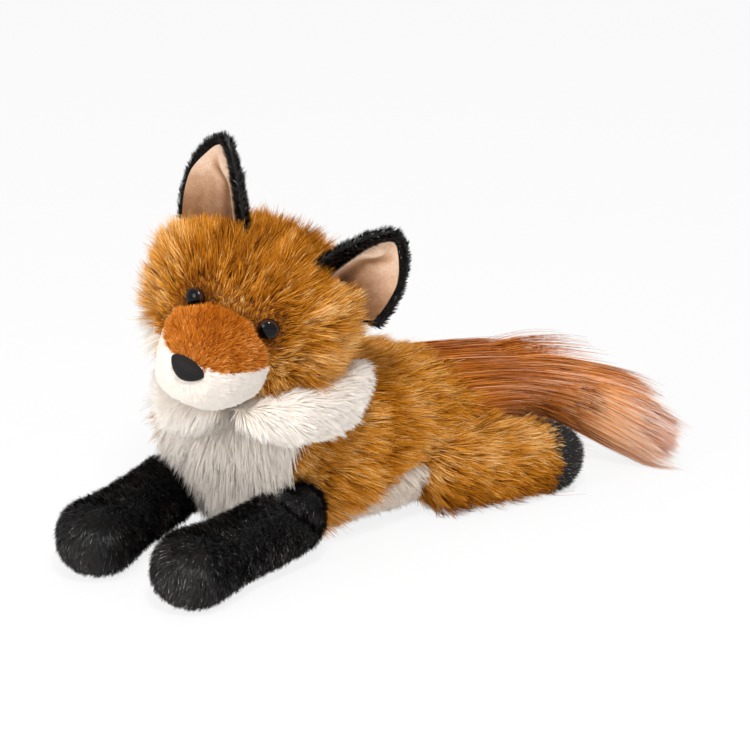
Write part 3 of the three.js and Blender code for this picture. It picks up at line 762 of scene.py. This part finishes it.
def leg_depth(points):
    """The leg is a little slimmer above the paw, and folds in at the elbow."""
    along = np.min([np.linalg.norm(points[:, :2] - SHOULDERS[side][:2], axis=1) for side in SIDES], axis=0)
    slim = bell((along - 52 * MM) / (20 * MM)) * (1 - eased(points[:, 2], 12, 30))
    elbow, crease = bell(from_elbow(points) / (12 * MM)), bell(from_crease(points) / (3 * MM))
    return LEG_DEPTH + 2.5 * MM * slim - 9 * MM * elbow + 5 * MM * crease


def foot_share(points):
    """0 on the thigh and 1 on the foot."""
    return eased(points[:, 1], 86, 100)


def hind_depth(points):
    return HIND_DEPTH + (FOOT_DEPTH - HIND_DEPTH) * foot_share(points)


def tail_depth(points):
    return TAIL_DEPTH - 3 * MM * (1 - eased(tail_place(points)[0], 10, 60))


FORMS = {
    "torso": drawn_in(closed_form(TORSO_NODES), TORSO_DEPTH),
    "head": drawn_in(closed_form(["head_skin"]), head_depth),
    "muzzle": drawn_in(closed_form(["muzzle_top", "muzzle_chin"], voxel=2), muzzle_depth),
    "tail": drawn_in(closed_form(["tail_skin", "tail_tip", "tail_stuffing"], hulled=False), tail_depth),
}
for side in SIDES:
    FORMS[f"ruff_{side}"] = drawn_in(closed_form([f"cheek_ruff_{side}"], voxel=2), RUFF_DEPTH)
    leg, hind = f"foreleg_{side}", f"hindleg_{side}"
    FORMS[leg] = drawn_in(closed_form(BODIES[leg], voxel=2.5, hulled=False), leg_depth)
    FORMS[hind] = drawn_in(closed_form(BODIES[hind]), hind_depth)
TREES = {name: tree_of(form) for name, form in FORMS.items()}


def bare(roots, others):
    """Which roots lie more than 4 mm inside other forms, where no pile is needed."""
    hidden = np.zeros(len(roots), bool)
    for other in others:
        skin = arrays(FORMS[other])[0]
        close = ((roots > skin.min(0)) & (roots < skin.max(0))).all(1)
        hidden[close] |= depth_inside(roots[close], TREES[other]) > 4 * MM
    return hidden


def grow(name, node, body, slot, kind, comb, tone, others=(), length=1.0, lift=1.0, keep=None, rooted=None):
    """Grows the pile that stands for a panel's node, on that panel or on the one it is rooted in. Tone,
    length and lift are numbers or functions of the roots. No pile grows inside the other forms."""
    roots, normals = roots_on(PATCHES[rooted or node], kind["spacing"], seeded(name + "_roots"))
    kept = ~bare(roots, others)
    if keep:
        kept &= keep(roots, normals)
    roots, normals = roots[kept], normals[kept]
    tone, length, lift = (value_at(roots, value) for value in (tone, length, lift))
    for piece in pile_pieces(name, roots, normals, comb, kind, tone, length, lift):
        finished(piece, body, node, CLOTHS[slot][1])


def panel(name, node, body, slot, *pile, **more):
    """A sewn panel: its backing cloth and its pile."""
    backing_piece(f"{name}_backing", node, body, slot)
    grow(f"{name}_pile", node, body, slot, *pile, **more)


# Torso

BELLY_EDGE_TOP = 40 * MM


def belly_edge(points):
    """How high the white of the belly comes on the flank: it rises from the foreleg to the thigh."""
    behind = points[:, 1] - 8 * MM
    run = np.abs(behind) / np.where(behind > 0, 20 * MM, 42 * MM)
    return BELLY_EDGE_TOP * np.exp(-(run**2.6))


def belly_claims(centres, owner):
    """The white belly reaches up the flank in front of the thigh."""
    return np.where((centres[:, 2] < belly_edge(centres)) & (owner == 0), 2, owner)


cut_panels(FORMS["torso"], TORSO_NODES, belly_claims)
TORSO_NEIGHBOURS = ["head", "tail", "foreleg_left", "foreleg_right", "hindleg_left", "hindleg_right"]


def back_comb(roots):
    """Back pile lies towards the tail, and hangs down low on the shoulders and flanks."""
    low = (1 - eased(roots[:, 2], 12, 42)) * eased(-roots[:, 1], 20, 60)
    front = eased(-roots[:, 1], 10, 100)
    swirl = waves(roots, 60, 3) * 0.3
    return np.stack([swirl, 1.0 - 0.25 * front - 0.5 * low, -0.2 - 0.3 * front - 0.6 * low + swirl * 0.6], 1)


def back_length(roots):
    """The back's pile is trimmed short along the belly's edge."""
    above = roots[:, 2] - belly_edge(roots)
    elbow = eased(from_elbow(roots), 12, 26)
    return (0.35 + 0.65 * eased(above, 0, 22)) * (0.4 + 0.6 * elbow)


def back_lift(roots):
    """The right shoulder's pile stands out past the bib."""
    return 1 + 1.1 * eased(-roots[:, 0], 46, 56) * eased(-roots[:, 1], 75, 90)


def clear_of_elbow(roots, normals):
    return (from_crease(roots) > 9 * MM) & (from_elbow(roots) > 9 * MM)


def behind_rump(points):
    """How far a place is behind the seam where the tail's long pile starts on the rump. The piles on
    both sides of it are mingled."""
    mingled = np.sin(points @ np.array([9.1e4, 7.3e4, 5.7e4]))
    seam = 52 * MM - 0.4 * (points[:, 2] - 42 * MM) + 6 * MM * waves(points, 13, 61)
    return points[:, 1] - seam + 7 * MM * mingled


def on_rump(roots, normals):
    return (behind_rump(roots) > 0) & (roots[:, 2] > 42 * MM)


def on_back(roots, normals):
    return clear_of_elbow(roots, normals) & ~on_rump(roots, normals)


def back_tone(roots):
    # Darker along the fold across each flank: painted shade in the crease. Also a little darker low down.
    fold_shade = bell((roots[:, 1] + 27 * MM) / (6 * MM)) * eased(np.abs(roots[:, 0]), 18, 32)
    low = eased(-roots[:, 2], -45, -10)
    return 0.7 + 0.13 * waves(roots, 34, 5) - 0.1 * low - 0.22 * fold_shade


def chest_comb(roots):
    """The bib hangs down and spreads to the sides."""
    aside, zeros = (roots[:, 0] + 12 * MM) * 16, np.zeros(len(roots))
    return np.stack([aside, zeros - 0.15, zeros - 1], 1)


def bib_length(roots):
    """The bib is fullest on the fox's right, where it stands out past the chin."""
    return 1.0 + 0.1 * eased(-roots[:, 0], 20, 50)


def bib_lift(roots):
    return 1.0 + 0.4 * eased(-roots[:, 0], 20, 50)


def belly_comb(roots):
    return np.array([0, 0.6, -0.8])


panel("back", "back_skin", "torso", "golden_pile", BACK_PILE, back_comb, back_tone,
      TORSO_NEIGHBOURS, back_length, back_lift, on_back)
panel("bib", "chest_bib", "torso", "white_pile", BIB_PILE, chest_comb, 0.6,
      TORSO_NEIGHBOURS, bib_length, bib_lift, clear_of_elbow)
panel("belly", "belly_panel", "torso", "white_pile", BELLY_PILE, belly_comb, -0.1,
      TORSO_NEIGHBOURS, keep=clear_of_elbow)

# Head

# Where the crown's pile is trimmed before the ears, and by how much
EAR_FRONTS = [((30, -2, 26), 0.65), ((-22, -2, 38), 0.6), ((-42, -2, 32), 0.4)]


def face_comb(roots):
    """Face pile parts at the muzzle and runs up the brow, out over the cheeks and back; low on the
    cheeks it hangs over the ruffs."""
    p = head_places(roots)
    flow = p - [0, -72, -16]
    flow[:, 2] -= 45 * smooth_step(-p[:, 2], 8, 34)
    flow[:, ::2] += 12 * swirls(roots, 30, 61, 62)
    return flow @ HEAD.T


def face_length(roots):
    p = head_places(roots)
    near = np.minimum(near_eyes(roots) - 5 * MM, snout_far(p))
    low = smooth_step(-p[:, 2], 10, 30)
    length = 0.26 + 0.74 * eased(near, 0, 20) + 0.5 * low
    for place, short in EAR_FRONTS:
        length *= 1 - short * (1 - smooth_step(np.linalg.norm(p - place, axis=1), 8, 22))
    return length


def face_tone(roots):
    """Browner round the eyes, the crown a deep gold, the cheeks lighter."""
    p = head_places(roots)
    eyes = 1 - eased(near_eyes(roots), 6, 16)
    crown = smooth_step(p[:, 2], 14, 40) * (1 - smooth_step(p[:, 1], -5, 25))
    cheek = smooth_step(np.abs(p[:, 0]), 24, 46) * (1 - crown)
    return 0.58 + 0.13 * waves(roots, 20, 8) - 0.32 * eyes - 0.27 * crown + 0.18 * cheek


def face_lift(roots):
    p = head_places(roots)
    return 0.7 + 0.35 * smooth_step(p[:, 2], 0, 40)


def on_throat(roots, normals):
    """The throat, under the chin, is white, and so is the foot of the right cheek."""
    p = head_places(roots)
    return ((p[:, 2] < -34) & (p[:, 1] < 5)) | ((p[:, 0] < -30) & (p[:, 2] < -20) & (p[:, 1] < 20))


def throat_comb(roots):
    """White pile hangs down forward under the chin, and out to the side on the right cheek."""
    right = smooth_step(-head_places(roots)[:, 0], 22, 36)[:, None]
    flow = np.array([0.1, -0.7, -1.0]) * (1 - right) + np.array([-0.9, 0.2, -0.8]) * right
    return flow @ HEAD.T


def on_face(roots, normals):
    return ~on_throat(roots, normals)


PATCHES["head_skin"] = arrays(FORMS["head"])
HEAD_NEIGHBOURS = ["muzzle", "torso", "ruff_left", "ruff_right"]
panel("head", "head_skin", "head", "golden_pile", HEAD_PILE, face_comb, face_tone,
      HEAD_NEIGHBOURS, face_length, face_lift, on_face)
grow("throat_pile", "head_skin", "head", "white_pile", BIB_PILE, throat_comb, 0.6,
     HEAD_NEIGHBOURS, keep=on_throat)


def muzzle_comb(roots):
    """Muzzle pile is brushed back from the nose."""
    return roots - NOSE_AT - HEAD @ [0, -8, 4] * MM


def muzzle_tone(roots):
    p = head_places(roots)
    patch = bell(np.hypot(p[:, 0] / 15, (p[:, 1] + 62) / 14))
    return 0.58 - 0.28 * patch + 0.09 * waves(roots, 16, 11)


def muzzle_length(roots):
    return 0.4 + 0.6 * eased(near_eyes(roots), 7, 12)


cut_panels(FORMS["muzzle"], ["muzzle_top", "muzzle_chin"])
panel("muzzle", "muzzle_top", "head", "rust_short_pile", MUZZLE_PILE, muzzle_comb, muzzle_tone, ["head"],
      muzzle_length)
panel("chin", "muzzle_chin", "head", "white_short_pile", CHIN_PILE, muzzle_comb, 0.7, ["head"])

# Cheek ruffs


def cheek_ruff(side):
    node, way = f"cheek_ruff_{side}", WAYS[side]
    PATCHES[node] = arrays(FORMS[f"ruff_{side}"])

    def ruff_comb(roots):
        """Ruff pile hangs down under the chin, and further out runs back along the jaw."""
        front = 1 - smooth_step(head_places(roots)[:, 0] * way, 8, 26)[:, None]
        flow = np.array([0.8 * way, 1.0, -0.6]) * (1 - front) + np.array([0, -0.3, -1.3]) * front
        return flow @ HEAD.T

    panel(f"ruff_{side}", node, "head", "white_pile", RUFF_PILE, ruff_comb, 0.7, ["head", "muzzle"])


for side in SIDES:
    cheek_ruff(side)

# Eyes and nose


def eye_piece(side, around=40):
    """A dome on a stem, turned about its axis, with its ring attribute from 0 at the pole to 1."""
    foot, way = EYES[side]
    stem, pole, stem_foot = 1.6 * MM, 0.02 * MM, -9 * MM
    bends = np.linspace(0, math.pi / 2, 14)[1:-1]
    profile = [(pole, stem_foot), (stem, stem_foot), (stem, -1 * MM), (EYE_RADIUS * 0.96, -0.8 * MM)]
    profile += [(EYE_RADIUS, 0)] + [(EYE_RADIUS * math.cos(b), EYE_DOME * math.sin(b)) for b in bends]
    profile += [(pole, EYE_DOME)]
    aside = unit(np.cross(way, UP))
    other = np.cross(way, aside)
    points = [
        foot + way * height + (aside * math.cos(a) + other * math.sin(a)) * radius
        for radius, height in profile
        for a in np.linspace(0, 2 * math.pi, around, endpoint=False)
    ]
    mesh = mesh_from(f"eye_{side}_dome", points, [sheet_faces(len(profile), around, closed=True)])
    mark(mesh, "ring", np.repeat([min(radius / EYE_RADIUS, 1) for radius, _ in profile], around))
    finished(new_object(f"eye_{side}_dome", mesh), "head", f"eye_{side}", EYE)


# The washers keep the frame's own form
for side in SIDES:
    eye_piece(side)
    washer = frame["nodes"][f"eye_washer_{side}"]
    washer.data.materials.clear()
    washer.data.materials.append(WASHER)

NOSE_HALF = np.array([10, 5.8, 6.6]) * MM
NOSE_TILT = 13  # degrees


def nose_piece():
    """A padded pillow with a nearly straight top edge, rounded and narrower below."""
    ball = bmesh.new()
    bmesh.ops.create_uvsphere(ball, u_segments=48, v_segments=32, radius=1)
    tilt = turned("y", NOSE_TILT)
    for vert in ball.verts:
        x, y, z = vert.co
        # The top half is pressed flat and keeps its width up to the edge.
        wide = 1 + (0.3 * z if z < 0 else 0.3 * z - 0.2 * z * z)
        high = z * (0.74 if z > 0 else 1.08)
        vert.co = Vector(NOSE_AT + HEAD @ tilt @ (np.array([x * wide, y, high]) * NOSE_HALF))
    mesh = bpy.data.meshes.new("nose_pad")
    ball.to_mesh(mesh)
    ball.free()
    mesh.shade_smooth()
    finished(new_object("nose_pad", mesh), "head", "nose", VELOUR)


nose_piece()

# Ears

EAR = {"height": 48.5 * MM, "half": 26.4 * MM, "curl": math.radians(48), "narrowing": 0.9, "bluntness": 0.53}
EAR_PLACES = {
    "left": {"at": (43.5, 5.5, 23), "splay": 26.5, "outward": 29, "bare_from": 0.86},
    "right": {"at": (-30, 5.5, 34.5), "splay": -21, "outward": -29.5, "bare_from": 0.95},
}
EAR_FOOT = -0.12  # how far the leaf runs down into the cheek's pile, as a share of its height
EAR_LAYERS = {"suede": (0.0, 1.2 * MM), "backing": (1.7 * MM, 3.2 * MM)}  # behind the lining's face


def ear_leaf(u, v, behind):
    """A place on the curled leaf: u from -1 to 1 across, v from 0 to 1 up, in the ear's frame."""
    rise = np.clip(v, 0, 0.998) ** EAR["narrowing"]
    tucked = 1 + 3.5 * np.minimum(v, 0)  # below the cheek's pile the leaf narrows to its seam
    bend = EAR["half"] * tucked * np.cos(math.pi / 2 * rise) ** EAR["bluntness"] / math.sin(EAR["curl"])
    angle, radius = EAR["curl"] * u, bend + behind
    return np.stack([radius * np.sin(angle), radius * np.cos(angle) - bend, EAR["height"] * v], -1)


def lining_edges(side, v):
    """The lining's outer and inner edge at each height, as places across the leaf."""
    closing = np.sqrt(np.clip(1 - (np.maximum(v - 0.55, 0) / 0.36) ** 2, 0, 1))
    outer, inner = EAR_PLACES[side]["bare_from"], -0.42
    centre = (outer + inner) / 2 - 0.1 * smooth_step(v, 0.5, 0.9)
    half = (outer - (outer + inner) / 2) * closing
    return centre + half, centre - half


def leaf_piece(name, front, back, shade=None):
    """A closed leaf between a front and a back sheet."""
    up, across = front.shape[:2]
    points = np.concatenate([front.reshape(-1, 3), back.reshape(-1, 3)])
    size = up * across
    sheet = sheet_faces(up, across)
    edge = np.concatenate([
        np.arange(across),
        np.arange(2, up + 1) * across - 1,
        size - 2 - np.arange(across - 1),
        np.arange(up - 2, 0, -1) * across,
    ])
    after = np.roll(edge, -1)
    rim = np.stack([edge, edge + size, after + size, after], -1)
    mesh = mesh_from(name, points, [sheet, sheet[:, ::-1] + size, rim])
    if shade is not None:
        mark(mesh, "shade", [shade, shade])
    return new_object(name, mesh)


def ear_lining(side, to_world):
    """The suede lining, gathered into a soft fold that runs up beside its inner edge."""
    way = WAYS[side]
    v, w = np.meshgrid(np.linspace(EAR_FOOT, 0.91, 49), np.linspace(0, 1, 41), indexing="ij")
    outer, inner = lining_edges(side, v)
    out = outer + (inner - outer) * w
    front, back = (ear_leaf(out * way, v, behind) for behind in EAR_LAYERS["suede"])
    # Out beyond the fold the lining lies low; the strip beside it stands up, and both die out above.
    line = -0.3 + 0.45 * smooth_step(v, 0.45, 0.75)
    dying = 1 - smooth_step(v, 0.6, 0.85)
    strip = smooth_step(line - out, -0.06, 0.1) * (1 - 0.6 * smooth_step(line - out, 0.2, 0.5)) * dying
    angle = EAR["curl"] * out * way
    front = front - 2.6 * MM * strip[..., None] * np.stack([-np.sin(angle), np.cos(angle), 0 * v], -1)
    # Painted shade: darker in the hollow beside the fold, and low down towards the foot.
    hollow_shade = bell((out - line - 0.14) / 0.16) * dying
    low = 1 - smooth_step(v, 0.1, 0.75)
    shade = 0.06 + 0.42 * hollow_shade + 0.44 * low * smooth_step(out - line, 0, 0.3)
    piece = leaf_piece(f"ear_{side}_suede", to_world(front), to_world(back), shade)
    finished(piece, f"ear_{side}", f"ear_{side}_lining", SUEDE)


def ear_pieces(side):
    place = EAR_PLACES[side]
    axes = HEAD @ turned("y", place["splay"]) @ turned("z", place["outward"])
    root = on_head(*place["at"])
    way = WAYS[side]

    def to_world(points):
        return root + points @ axes.T

    ear_lining(side, to_world)
    v, u = np.meshgrid(np.linspace(EAR_FOOT, 1, 45), np.linspace(-1, 1, 41), indexing="ij")
    near, far = (to_world(ear_leaf(u, v, behind)) for behind in EAR_LAYERS["backing"])
    shell = leaf_piece(f"ear_{side}_backing", near, far)
    finished(shell, f"ear_{side}", None, KNITS["black"])
    # Pile grows on the back, over the rim and on what the lining leaves of the front.
    points, tris, normals = arrays(shell.data)
    on_front = (tris < u.size).all(1)
    u, v = (np.tile(a.ravel(), 2)[tris].mean(1) for a in (u, v))
    outer, inner = lining_edges(side, v)
    covered = on_front & (u * way < outer - 0.02) & (u * way > inner + 0.02) & (v < 0.9)

    def ear_comb(roots):
        """Ear pile runs up to the tip and a little out over the rim."""
        out = (roots - root) @ axes[:, 0]
        return np.stack([0.35 * out / EAR["half"], 0 * out, 1 + 0 * out], -1) @ axes.T

    def ear_length(roots):
        """Along the outer edge the pile is short."""
        local = (roots - root) @ axes
        rise = np.clip(local[:, 2] / EAR["height"], 0, 0.998) ** EAR["narrowing"]
        out = local[:, 0] * way / (EAR["half"] * np.cos(math.pi / 2 * rise) ** EAR["bluntness"])
        return 1.15 - 0.35 * smooth_step(out, 0.6, 0.95)

    PATCHES[f"ear_{side}_back"] = points, tris[~covered], normals
    grow(f"ear_{side}_pile", f"ear_{side}_back", f"ear_{side}", "black_pile", EAR_PILE, ear_comb, 0.45,
         length=ear_length)


for side in SIDES:
    ear_pieces(side)

# Legs


def foreleg(side):
    body = f"foreleg_{side}"
    paw = middle(f"paw_{side}_pellets")
    along_leg = unit((paw - SHOULDERS[side]) * [1, 1, 0])

    def at_toes(roots):
        return eased((roots - paw) @ along_leg, -10, 14)

    def leg_comb(roots):
        """Leg pile is brushed down towards the toes."""
        flow = along_leg - [0, 0, 0.25] - 1.3 * at_toes(roots)[:, None] * UP
        return flow + 0.35 * swirls(roots, 16, 51, 52, 53)

    def leg_tone(roots):
        """Darker at the toes, with painted shade in the elbow's crease and a painted sheen that lightens patches
        about 30 mm across.
        """
        shade = 0.48 - 0.12 * at_toes(roots) + 0.07 * waves(roots, 9, 54) + 0.13 * waves(roots, 30, 55)
        return shade - 0.2 * (1 - eased(from_crease(roots), 2, 6))

    def leg_lift(roots):
        """The pile lies flatter over the toes."""
        return 1 - 0.36 * at_toes(roots)

    def leg_length(roots):
        return 0.5 + 0.5 * eased(from_crease(roots), 1.5, 6)

    PATCHES[f"{body}_skin"] = arrays(FORMS[body])
    panel(body, f"{body}_skin", body, "black_pile", LEG_PILE, leg_comb, leg_tone, ["torso"],
          leg_length, leg_lift)


def hind_leg(side):
    body, thigh, foot = f"hindleg_{side}", f"thigh_{side}", f"foot_{side}"
    hip = np.array(JOINTS[f"{body}_swing"]["pos_m"])
    along_leg = unit((middle(f"{foot}_pellets") - hip) * [1, 1, 0])

    def hind_comb(roots):
        """Thigh pile lies back towards the foot, and hangs at the edge of the table."""
        flow = np.tile(along_leg, (len(roots), 1))
        flow[:, 2] -= 0.2 + 0.15 * waves(roots, 50, 21)
        return flow

    def thigh_tone(roots):
        # Painted shade: the thigh is darker low down, towards the table.
        return 0.78 + 0.12 * waves(roots, 30, 23) - 0.52 * (1 - eased(roots[:, 2], 8, 36))

    def thigh_length(roots):
        return 1.0 - 0.45 * eased(roots[:, 1], 72, 97)

    cut_panels(FORMS[body], [f"{thigh}_skin", f"{foot}_skin"])
    panel(thigh, f"{thigh}_skin", body, "golden_pile", THIGH_PILE, hind_comb, thigh_tone, ["torso"],
          thigh_length)
    panel(foot, f"{foot}_skin", body, "black_pile", LEG_PILE, hind_comb, 0.45, ["torso"])


for side in SIDES:
    foreleg(side)
for side in SIDES:
    hind_leg(side)

# Tail


def tail_comb(roots):
    """Tail pile runs along the tail, keeps close to it, hangs under its root and is drawn together
    at its end."""
    along, centre, way = tail_place(roots)
    off = centre - roots
    far = np.linalg.norm(off, axis=1, keepdims=True)
    drawn = smooth_step(along, 0.6 * TAIL_LENGTH, TAIL_LENGTH)[:, None]
    flow = way + off / (110 * MM) * drawn + off / far * 0.3 * eased(far, 26, 38)
    under = eased(off[:, 2], 4, 16) * (1 - eased(along, 60, 100))
    over = eased(-off[:, 2], 0, 14) * eased(along, 50, 90)
    over *= 1 - eased(along, 110, 150)
    flow[:, 2] += 0.17 * over - 0.24 * under
    return flow


def tail_tone(roots):
    along = tail_place(roots)[0] / TAIL_LENGTH
    return 0.56 + 0.12 * waves(roots, 14, 31) + 0.37 * smooth_step(along, 0.15, 0.8)


def tail_reach(roots):
    """Fibres end just beyond the end of the tail, so the brush goes out in wisps."""
    along, centre, _ = tail_place(roots)
    top = eased(roots[:, 2] - centre[:, 2], -14, 14)
    left = TAIL_LENGTH + 12 * MM - along - 26 * MM * top
    wisps = seeded("tail_wisps").uniform(0.62, 1.0, len(roots))
    return np.clip(left * wisps / TAIL_PILE["length"], 0.1, 1.0)


def tip_reach(roots):
    left = TAIL_LENGTH + 10 * MM - tail_place(roots)[0]
    wisps = seeded("tip_wisps").uniform(0.6, 1.0, len(roots))
    return np.clip(left * wisps / TIP_PILE["length"], 0.25, 1.0)


def rump_lift(roots):
    """Fibres on top of the rump rise a little before they lie down on the tail."""
    return 1 + 6 * eased(roots[:, 2], 66, 84)


TAIL_ROOT = np.array(JOINTS["tail_swing"]["pos_m"])
RUMP_BEND = ("torso", "tail", tuple(TAIL_ROOT - [0, 14 * MM, 0]), tuple(TAIL_ROOT + [0, 24 * MM, 0]))


def off_root_cap(roots, normals):
    return (normals * tail_place(roots)[2]).sum(1) > -0.6


cut_panels(FORMS["tail"], ["tail_skin", "tail_tip"])
panel("tail", "tail_skin", "tail", "tail_pile", TAIL_PILE, tail_comb, tail_tone, ["torso"], tail_reach,
      keep=off_root_cap)
grow("rump_brush_pile", "tail_skin", RUMP_BEND, "tail_pile", TAIL_PILE, tail_comb, tail_tone, ["tail"],
     tail_reach, rump_lift, on_rump, rooted="back_skin")
panel("tail_tip", "tail_tip", "tail", "tail_tip_pile", TIP_PILE, tail_comb, 0.5, length=tip_reach)

# Filling, seen only where a seam is opened

# How far it lies inside its solid in millimetres, by body or by its own node
FILL_DEPTH = {"torso": 7, "head": 9, "tail": 6.5}
OWN_DEPTH = {"muzzle_stuffing": 3, "belly_pellet_bag": 1}
LIMB_DEPTH = 6


def filling_piece(node, body, material):
    depth = OWN_DEPTH.get(node, FILL_DEPTH.get(body, LIMB_DEPTH)) * MM
    mesh = drawn_in(closed_form([node], hulled=node == "head_stuffing", smoothing=5), depth)
    mesh.shade_smooth()
    finished(new_object(f"{node}_fill", mesh), body, node, material)


for body, members in BODIES.items():
    for node in members:
        if node.endswith("_stuffing"):
            filling_piece(node, body, FIBRE)
        if node.endswith(("_pellets", "_pellet_bag")):
            filling_piece(node, body, PELLETS)

# Stage: white floor and background, soft lamps, and the photograph's view

TARGET = np.array([-17.78, 22.32, 77]) * MM
CAMERA_PLACE = {"around": 47, "above": 20, "far": 1.65}
CAMERA_ANGLE = math.radians(15.5)
ROOM_LIGHT = 0.62  # how bright the surroundings are on the fox


def aimed(name, data, around, above, far):
    """Places a lamp or the camera round and above the target by degrees, at a distance in metres,
    looking at it."""
    around, above = math.radians(around), math.radians(above)
    back = np.array([
        math.sin(around) * math.cos(above),
        -math.cos(around) * math.cos(above),
        math.sin(above),
    ])
    made = new_object(name, data)
    made.location = TARGET + back * far
    made.rotation_mode = "QUATERNION"
    made.rotation_quaternion = Vector(-back).to_track_quat("-Z", "Y")
    return made


def add_camera():
    data = bpy.data.cameras.new("camera")
    data.angle = CAMERA_ANGLE
    bpy.context.scene.camera = aimed("camera", data, **CAMERA_PLACE)


def add_lamp(name, size, power, **place):
    data = bpy.data.lights.new(name, "AREA")
    data.shape = "DISK"
    data.size = size
    data.energy = power
    aimed(name, data, **place)


def add_world():
    """Even white surroundings: pure white to the camera, a plain level on the fox."""
    world = bpy.data.worlds.new("surroundings")
    bpy.context.scene.world = world
    world.use_nodes = True
    tree = world.node_tree
    tree.nodes.clear()
    path = add(tree, "LightPath")
    seen = path.outputs["Is Camera Ray"]
    for ray in ("Is Transmission Ray", "Is Glossy Ray"):
        seen = add(tree, "Math", {0: seen, 1: path.outputs[ray]}, operation="MAXIMUM").outputs[0]
    plain = add(tree, "Background", {"Color": srgb("#ffffff"), "Strength": ROOM_LIGHT})
    white = add(tree, "Background", {"Color": srgb("#ffffff"), "Strength": 1.0})
    both = add(tree, "MixShader", {"Fac": seen, 1: plain.outputs[0], 2: white.outputs[0]})
    add(tree, "OutputWorld", {"Surface": both.outputs[0]})


def add_floor():
    """A sheet of paper, 8 m wide, that looks white to the camera and takes the fox's shadow."""
    mesh = mesh_from("floor", [[-4, -4, 0], [4, -4, 0], [4, 4, 0], [-4, 4, 0]], [np.array([[0, 1, 2, 3]])])
    floor = new_object("floor", mesh)
    material, tree = new_material("matt_white_paper")
    path = add(tree, "LightPath")
    paper = add(tree, "BsdfPrincipled", {"Base Color": srgb("#f4f4f4"), "Roughness": 0.9})
    glow = add(tree, "Emission", {"Color": srgb("#ffffff"), "Strength": 1.0})
    share = add(tree, "Math", {0: path.outputs["Is Camera Ray"], 1: 0.85}, operation="MULTIPLY")
    ends = {"Fac": share.outputs[0], 1: paper.outputs[0], 2: glow.outputs[0]}
    both = add(tree, "MixShader", ends)
    add(tree, "OutputMaterial", {"Surface": both.outputs[0]})
    mesh.materials.append(material)


add_camera()
add_world()
add_floor()
add_lamp("key_lamp", size=0.24, power=11.7, around=50, above=50, far=1.4)
add_lamp("fill_lamp", size=0.9, power=12, around=2, above=18, far=1.9)
bpy.context.scene.view_settings.view_transform = "Standard"
